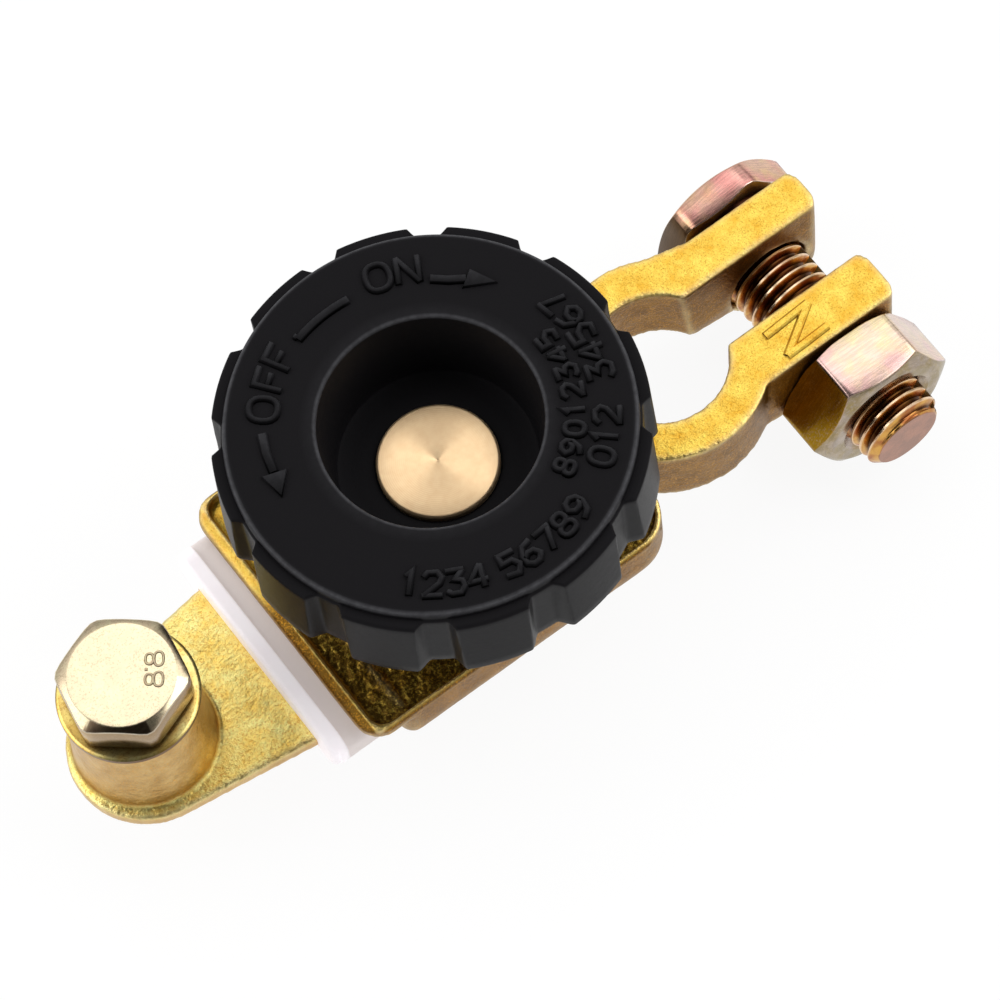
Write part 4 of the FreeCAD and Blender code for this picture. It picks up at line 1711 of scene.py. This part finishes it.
@dataclass
class Knob:
    """The moulded knob with its marks, and the stud that it turns."""

    bottom: float = 20.0
    top: float = 32.0
    disc_radius: float = 22.1
    disc_rise: float = 1.1
    disc_edge: float = 0.8
    lobes: int = 12
    turn: float = 10.0
    lobe_radius: float = 23.8
    lobe_half: float = 8.4
    lobe_taper: float = 0.4
    lobe_steps: tuple[float, ...] = (
        0, 2.2, 4.4, 6.4, 7.6, 8.4, 8.8, 9.2, 9.7, 10.2, 10.7, 11.2, 11.6, 12.1, 12.9, 13.9,
    )
    crest_round: float = 0.45
    flute_radius: float = 22.35
    flute_half: float = 2.9
    mouth_radius: float = 12.1
    dish_radius: float = 11.0
    dish_depth: float = 11.2
    lip: float = 0.5
    hub_radius: float = 9.4
    hub_drop: float = 2.8
    wall: float = 2.3
    web: float = 2.0
    dish_wall: float = 1.9
    ribs: int = 6
    rib_width: float = 1.4
    stud_head: float = 6.7
    stud_proud: float = 0.8
    stud_radius: float = 6.0
    thread_lead: float = 1.75
    pin_radius: float = 2.4
    pin_length: float = 1.0
    sharp: float = 38.0
    word_radius: float = 17.75
    letter_half: Point2 = (1.15, 1.55)
    words: tuple[tuple[Letter, float], ...] = (
        (Letter.O, 72.3), (Letter.N, 61.6), (Letter.O, 137.9), (Letter.F, 126.6), (Letter.F, 117.7),
    )

    # Radius, half a digit's height, degrees from digit to digit, then each group's start and count
    number_rows: tuple = (
        (18.65, 1.3, 7.3, ((-132.5, 4), (-99.5, 5), (-51.0, 3), (-20.5, 5))),
        (15.3, 1.05, 8.3, ((-58.5, 8),)),
    )

    def outline(self, angles: np.ndarray) -> np.ndarray:
        """The grip's radius at its foot, lobes and flutes.

        Args:
            angles: Directions in radians.

        Returns:
            One radius for each direction.
        """
        pitch = 360 / self.lobes
        from_lobe = np.abs((np.degrees(angles) - self.turn + pitch / 2) % pitch - pitch / 2)
        run = pitch / 2 - self.flute_half - self.lobe_half
        flank = np.clip((from_lobe - self.lobe_half) / run, 0, 1)
        eased = 0.15 * flank + 0.85 * flank * flank * (3 - 2 * flank)
        return self.lobe_radius - (self.lobe_radius - self.flute_radius) * eased

    def angles(self) -> np.ndarray:
        """Directions round the knob, close together on the flanks.

        Returns:
            The directions in radians.
        """
        half = np.array(self.lobe_steps)
        pitch = 360 / self.lobes
        sector = np.concatenate([half, [pitch / 2], pitch - half[1:][::-1]])
        return np.radians(np.concatenate([sector + self.turn + pitch * i for i in range(self.lobes)]))

    def grip(self, angles: np.ndarray) -> list:
        """Rings of the drafted outer wall, from its foot up to its shoulder.

        Args:
            angles: Directions in radians.

        Returns:
            A list of rings.
        """
        foot = self.outline(angles)
        rise = self.top - self.disc_rise - self.bottom
        steps = [(0.0, 0.3), (0.1, 0.09), (0.35, 0.0)]
        steps += [(share * rise, 0.0) for share in (0.15, 0.35, 0.55, 0.75, 0.9)]
        steps += [(rise - down, inset) for inset, down in quarter_round(self.crest_round, 6)]
        made = []
        for up, inset in steps:
            draft = self.lobe_radius - self.lobe_taper * up / rise
            radius = np.maximum(np.minimum(foot, draft) - inset, self.disc_radius + 0.03)
            made.append(ring(radius, self.bottom + up, angles))
        return made

    def disc(self) -> list[Point2]:
        """The raised disc, from its foot to the mouth of the dish.

        Returns:
            Radius and height of each ring.
        """
        shoulder = self.top - self.disc_rise
        made = [(self.disc_radius + 0.02, shoulder - 0.02), (self.disc_radius, shoulder + 0.05)]
        for inset, down in quarter_round(self.disc_edge, 7):
            made.append((self.disc_radius - inset, self.top - down))
        return made + [(radius, self.top) for radius in (20.4, 19.0, 17.2, 15.4, 13.9)]

    def dish(self) -> list[Point2]:
        """The dish's lip, its tapered wall and its floor, as far as the stud.

        Returns:
            Radius and height of each ring.
        """
        made = []
        for down, outset in quarter_round(self.lip, 7):
            made.append((self.mouth_radius + outset - 0.02, self.top - down))
        deep, floor = self.top - self.lip, self.top - self.dish_depth
        narrowing = self.dish_radius - self.mouth_radius
        for share in (0.12, 0.35, 0.6, 0.85, 0.93):
            made.append((self.mouth_radius + narrowing * share, deep + (floor - deep) * share))
        return made + [(self.dish_radius - 0.15, floor + 0.2), (self.dish_radius - 0.6, floor), (9.0, floor),
                       (self.stud_head + 0.25, floor), (self.stud_head + 0.02, floor - 0.15)]

    def underside(self) -> list[Point2]:
        """The hub round the stud and the dish's outer wall, up to the ceiling.

        Returns:
            Radius and height of each ring.
        """
        low, foot = self.bottom - self.hub_drop, self.bottom
        hub, wall = self.hub_radius, self.mouth_radius + self.dish_wall
        return [(self.stud_head + 0.02, low), (hub - 0.35, low), (hub - 0.1, low + 0.1), (hub, low + 0.35),
                (hub, foot - 0.3), (hub + 0.3, foot), (wall - 0.25, foot), (wall - 0.05, foot + 0.1),
                (wall, foot + 0.3), (wall, self.top - self.web)]

    def rings(self, angles: np.ndarray) -> np.ndarray:
        """The knob's section, all the way round and back to its start.

        Args:
            angles: Directions in radians.

        Returns:
            Array of rings, points and coordinates.
        """
        skirt = self.flute_radius - self.wall
        inner = [(skirt, self.top - self.web), (skirt, self.bottom + 0.3), (skirt + 0.1, self.bottom + 0.08),
                 (skirt + 0.3, self.bottom)]
        middle = self.disc() + self.dish() + self.underside()
        before, after = ([ring(r, z, angles) for r, z in part] for part in (inner, middle))
        return np.array(before + self.grip(angles) + after)

    def moulding(self, finish: bpy.types.Material) -> bpy.types.Object:
        """Builds the knob itself, with the ribs under it.

        Args:
            finish: Its material.

        Returns:
            The new piece.
        """
        parts = [turned_piece("knob_shell", self.rings(self.angles()), True, self.sharp)]
        inner = self.mouth_radius + self.dish_wall - 0.4
        outer = self.flute_radius - self.wall + 0.4
        half = self.rib_width / 2
        corners = [(x, y, z) for z in (self.bottom + 0.05, self.top - self.web + 0.3)
                   for x, y in ((inner, -half), (outer, -half), (outer, half), (inner, half))]
        faces = [[3, 2, 1, 0], [4, 5, 6, 7], [0, 1, 5, 4], [1, 2, 6, 5], [2, 3, 7, 6], [3, 0, 4, 7]]
        for i in range(self.ribs):
            rib = mesh_from("rib", np.array(corners), faces)
            rib.data.transform(Matrix.Rotation(2 * math.pi * i / self.ribs, 4, "Z"))
            parts.append(rib)
        piece = joined(parts, "knob_moulding")
        points = vertex_array(piece)
        out, height = np.hypot(points[:, 0], points[:, 1]), points[:, 2]
        # Painted highlight along the dish's lip and the disc's rim
        on_lip = np.exp(-((out - self.mouth_radius - 0.15) / 0.22) ** 2) * (height > self.top - 0.4)
        on_rim = np.exp(-((out - self.disc_radius + 0.25) / 0.2) ** 2) * (height > self.top - 0.8)
        set_mask(piece, "edge", np.clip(on_lip * 0.7 + on_rim * 0.8, 0, 1))
        return dress(piece, finish, "turning_knob", "knob")

    def glyph(self, parts: list, radius: float, angle: float) -> None:
        """Moves parts drawn about the origin, top outwards, to a place on the dial.

        Args:
            parts: Raised lines to move.
            radius: Distance of the place from the knob's axis.
            angle: Its direction in degrees.
        """
        turn = Matrix.Rotation(math.radians(angle - 90), 4, "Z")
        place = shifted(*self.on_dial(radius, angle), self.top)
        for i, part in enumerate(parts):
            part.data.transform(place @ shifted(0, 0, -LAYER * i) @ turn)

    def letter(self, stroke: RaisedStroke, which: Letter) -> list:
        """Raised lines that draw one letter about the origin.

        Args:
            stroke: The line to draw with.
            which: The letter.

        Returns:
            The lines.
        """
        wide, tall = self.letter_half
        if which is Letter.O:
            return [stroke.ribbon("o", oval(2 * wide + 0.35, 2 * tall), closed=True)]
        paths = {
            Letter.N: [[(-wide, -tall), (-wide, tall)], [(-wide, tall), (wide, -tall)],
                       [(wide, -tall), (wide, tall)]],
            Letter.F: [[(-wide + 0.2, -tall), (-wide + 0.2, tall), (wide, tall)],
                       [(-wide + 0.4, 0.1), (wide - 0.45, 0.1)]],
        }
        return [stroke.ribbon(which.value, path) for path in paths[which]]

    def letters(self, stroke: RaisedStroke) -> list:
        """The words for the two positions, one letter at a time.

        Args:
            stroke: The line to draw with.

        Returns:
            The lines of every letter.
        """
        made = []
        for which, angle in self.words:
            parts = self.letter(stroke, which)
            self.glyph(parts, self.word_radius, angle)
            made += parts
        return made

    def arrows(self, stroke: RaisedStroke) -> list:
        """The two turning arrows and the bar between the words.

        Args:
            stroke: The line to draw with; the shafts and the bar are wider.

        Returns:
            The lines and the arrows' heads.
        """
        bar = [self.on_dial(17.15 - 0.04 * k, 108.8 - 23.6 * k / 8) for k in range(9)]
        wide = RaisedStroke(0.85, stroke.height, stroke.ease)
        made = [
            stroke.plate("head", [(13.71, 11.56), (11.87, 10.31), (15.06, 8.54)]),
            stroke.plate("head", [(-17.78, 5.6), (-15.18, 4.72), (-17.38, 2.53)]),
            wide.ribbon("shaft", [(9.75, 13.3), (11.2, 12.0), (12.75, 10.95)]),
            wide.ribbon("shaft", [(-14.92, 9.63), (-15.85, 7.6), (-16.45, 5.3)]),
            wide.ribbon("bar", bar),
            stroke.ribbon("tick", [self.on_dial(17.3, 108.4), self.on_dial(17.75, 108.4)]),
        ]
        for i, part in enumerate(made):
            part.data.transform(shifted(0, 0, self.top - LAYER / 2 * i))
        return made

    def on_dial(self, radius: float, angle: float) -> Point2:
        """A point on the dial from its radius and direction in degrees."""
        return radius * math.cos(math.radians(angle)), radius * math.sin(math.radians(angle))

    def digit(self, stroke: RaisedStroke, number: int, half: float) -> list:
        """Raised lines that draw one plain digit about the origin, top down.

        Args:
            stroke: The line to draw with.
            number: The digit.
            half: Half its height, in millimetres.

        Returns:
            The lines.
        """
        closed = number in PLAIN_LOOPS
        if closed:
            paths = [[(x, y + rise) for x, y in oval(wide, tall, 16)]
                     for rise, wide, tall in PLAIN_LOOPS[number]]
        else:
            paths = PLAIN_DIGITS[number]
        placed = [[(-x * half * 0.92, -y * half) for x, y in path] for path in paths]
        return [stroke.ribbon("digit", path, closed) for path in placed]

    def scale_marks(self, stroke: RaisedStroke) -> list:
        """Rows of plain numbers, where the knob has a line of raised marks.

        Args:
            stroke: The line to draw with.

        Returns:
            The lines of every digit.
        """
        made = []
        number = 0
        for radius, half, step, groups in self.number_rows:
            for start, count in groups:
                for i in range(count):
                    number = (number + 1) % 10
                    parts = self.digit(stroke, number, half)
                    self.glyph(parts, radius, start + i * step)
                    made.extend(parts)
        return made

    def marks(self, finish: bpy.types.Material) -> bpy.types.Object:
        """Builds every raised mark on the knob's top as one piece.

        Args:
            finish: Their material.

        Returns:
            The new piece.
        """
        stroke = RaisedStroke(width=0.52, height=0.42, ease=0.15)
        piece = joined(self.letters(stroke) + self.arrows(stroke) + self.scale_marks(stroke), "knob_marks")
        # Painted highlight on the sides of the marks that face FAR_WAY and painted shade on the sides that
        # face away from it
        lit = vertex_array(piece, "normal")[:, :2] @ np.array(FAR_WAY)
        raised = np.clip((vertex_array(piece)[:, 2] - self.top - 0.1) * 4.0, 0, 1)
        set_mask(piece, "edge", raised * np.clip(0.12 + 0.3 * lit, 0.06, 0.4))
        set_mask(piece, "hollow", np.clip(-lit * 1.6, 0, 1) * np.where(raised < 0.5, 1.0, 0.6))
        return dress(piece, finish, "turning_knob")

    def stud(self, finish: bpy.types.Material) -> bpy.types.Object:
        """Builds the stud: faced head, groove in the knob, thread and pin.

        Args:
            finish: Its material.

        Returns:
            The new piece.
        """
        angles = np.linspace(0, 2 * math.pi, 96, endpoint=False)
        face = self.top - self.dish_depth + self.stud_proud
        low = self.bottom - self.hub_drop
        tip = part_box("contact_pad")[1].z / MM
        head, pin = self.stud_head, self.pin_radius
        profile = [(0.03, face - 0.08), (0.14, face - 0.03), (0.24, face), (2.2, face), (4.4, face),
                   (head - 0.32, face), (head - 0.22, face - 0.03), (head - 0.03, face - 0.22),
                   (head, face - 0.32), (head, low + 0.1), (head - 0.1, low), (self.stud_radius, low)]
        rings = [ring(r, z, angles) for r, z in profile]
        rings += Thread(self.stud_radius, self.thread_lead).rings(low, tip, angles)
        end = tip - self.pin_length
        rings += [ring(pin, tip, angles), ring(pin, end, angles), ring(0.03, end, angles)]
        piece = turned_piece("knob_stud_turned", np.array(rings), False)
        return dress(piece, finish, "turning_knob", "knob_stud")

    def assemble(self, finishes: Finishes) -> list:
        """Builds the moulding, its marks and the stud."""
        return [self.moulding(finishes.plastic), self.marks(finishes.plastic), self.stud(finishes.turned)]


# Camera, light and floor

@dataclass(frozen=True)
class Lamp:
    """One soft lamp that looks at the object, with its sizes in metres and its power in watts."""

    name: str
    place: Point3
    width: float
    power: float

    def hang(self) -> None:
        """Adds the lamp to the scene."""
        data = bpy.data.lights.new(self.name, "AREA")
        data.shape = "DISK"
        data.size = self.width
        data.energy = self.power
        lamp = bpy.data.objects.new(self.name, data)
        lamp.location = self.place
        lamp.rotation_euler = (-Vector(self.place)).to_track_quat("-Z", "Y").to_euler()
        bpy.context.scene.collection.objects.link(lamp)


@dataclass(frozen=True)
class Studio:
    """The photograph's camera over a plain pale floor."""

    target: Point3 = (0.418, -11.86, 32.0)
    distance: float = 521.3
    azimuth: float = -27.34
    elevation: float = 66.4
    roll: float = -9.88
    lens: float = 180.0
    sensor: float = 36.0
    floor_half: float = 3.0
    floor_gap: float = 0.05
    floor_colour: Colour = (0.86, 0.86, 0.86)
    floor_glow: float = 1.04
    floor_glow_share: float = 0.88
    tent_low: float = 0.38
    tent_high: float = 0.92
    opening: Point3 = (-0.28, -0.36, 0.89)
    opening_level: float = 0.05
    lamps: tuple[Lamp, ...] = (
        Lamp("overhead", (0.18, 0.30, 0.75), 0.6, 0.68),
        Lamp("left", (-0.65, 0.31, 0.54), 0.8, 2.4),
        Lamp("right", (0.60, -0.27, 0.62), 0.8, 2.6),
    )

    def camera(self) -> None:
        """Places the camera at the photograph's angle."""
        a, e, r = (math.radians(x) for x in (self.azimuth, self.elevation, self.roll))
        back = Vector((math.sin(a) * math.cos(e), -math.cos(a) * math.cos(e), math.sin(e)))
        right = (-back).cross(Vector((0, 0, 1))).normalized()
        up = right.cross(-back)
        across = math.cos(r) * right + math.sin(r) * up
        upward = math.cos(r) * up - math.sin(r) * right
        data = bpy.data.cameras.new("camera")
        data.lens = self.lens
        data.sensor_width = self.sensor
        data.clip_start = 0.01
        data.clip_end = 10.0
        camera = bpy.data.objects.new("camera", data)
        bpy.context.scene.collection.objects.link(camera)
        place = (Vector(self.target) + back * self.distance) * MM
        camera.matrix_world = Matrix.Translation(place) @ Matrix((across, upward, back)).transposed().to_4x4()
        bpy.context.scene.camera = camera

    def floor_material(self) -> bpy.types.Material:
        """Makes a matt floor that looks bright from the camera, and lights the object less.

        Returns:
            The new material.
        """
        made, n, shader = blank_material("pale_floor")
        n.put(self.floor_colour, shader.inputs["Base Color"])
        shader.inputs["Roughness"].default_value = 0.9
        shader.inputs["Specular IOR Level"].default_value = 0.1
        path = n.add("ShaderNodeLightPath").outputs
        seen = n.math("MAXIMUM", path["Is Camera Ray"], path["Is Transmission Ray"])
        seen = n.math("MAXIMUM", seen, path["Is Glossy Ray"])
        glow = n.add("ShaderNodeEmission")
        n.put((1.0, 1.0, 1.0), glow.inputs["Color"])
        glow.inputs["Strength"].default_value = self.floor_glow
        mixed = n.add("ShaderNodeMixShader")
        n.link(n.math("MULTIPLY", seen, self.floor_glow_share), mixed.inputs[0])
        n.link(shader.outputs[0], mixed.inputs[1])
        n.link(glow.outputs[0], mixed.inputs[2])
        n.link(mixed.outputs[0], n.tree.nodes["Material Output"].inputs["Surface"])
        return made

    def floor(self) -> None:
        """Lays a plain pale floor under the object."""
        half, low = self.floor_half, CAD_BOX[0].z - self.floor_gap * MM
        mesh = bpy.data.meshes.new("floor")
        corners = [(-half, -half, low), (half, -half, low), (half, half, low), (-half, half, low)]
        mesh.from_pydata(corners, [], [(0, 1, 2, 3)])
        mesh.materials.append(self.floor_material())
        new_object("floor", mesh)

    def world(self) -> None:
        """A pale tent: dimmer at its foot, with a dark opening on the near side."""
        world = bpy.data.worlds.new("surroundings")
        world.use_nodes = True
        n = Nodes(world.node_tree)
        back = world.node_tree.nodes["Background"]
        towards = n.add("ShaderNodeVectorMath", operation="DOT_PRODUCT")
        n.link(n.add("ShaderNodeTexCoord").outputs["Generated"], towards.inputs[0])
        towards.inputs[1].default_value = self.opening
        tent = n.fade(n.axes("Generated")["Z"], 0.05, 0.5, self.tent_low, self.tent_high)
        shut = n.fade(towards.outputs["Value"], 0.68, 0.88, 1.0, self.opening_level)
        n.link(n.math("MULTIPLY", tent, shut), back.inputs["Strength"])
        n.put((1.0, 1.0, 1.0), back.inputs["Color"])
        bpy.context.scene.world = world

    def build(self) -> None:
        """Sets up the camera, floor, lamps and surroundings."""
        self.camera()
        self.floor()
        for lamp in self.lamps:
            lamp.hang()
        self.world()
        bpy.context.scene.view_settings.view_transform = "Standard"


def main() -> None:
    """Builds every sub-assembly in order."""
    logging.basicConfig(level=logging.INFO, format="%(message)s")
    Studio().build()
    finishes = Finishes()
    for sub_assembly in (TerminalCasting(), CableEnd(), ClampFastening(), SleevePiece(), Knob()):
        for piece in sub_assembly.assemble(finishes):
            LOG.info("%s: %d vertices", piece.name, len(piece.data.vertices))


if __name__ == "__main__":
    main()
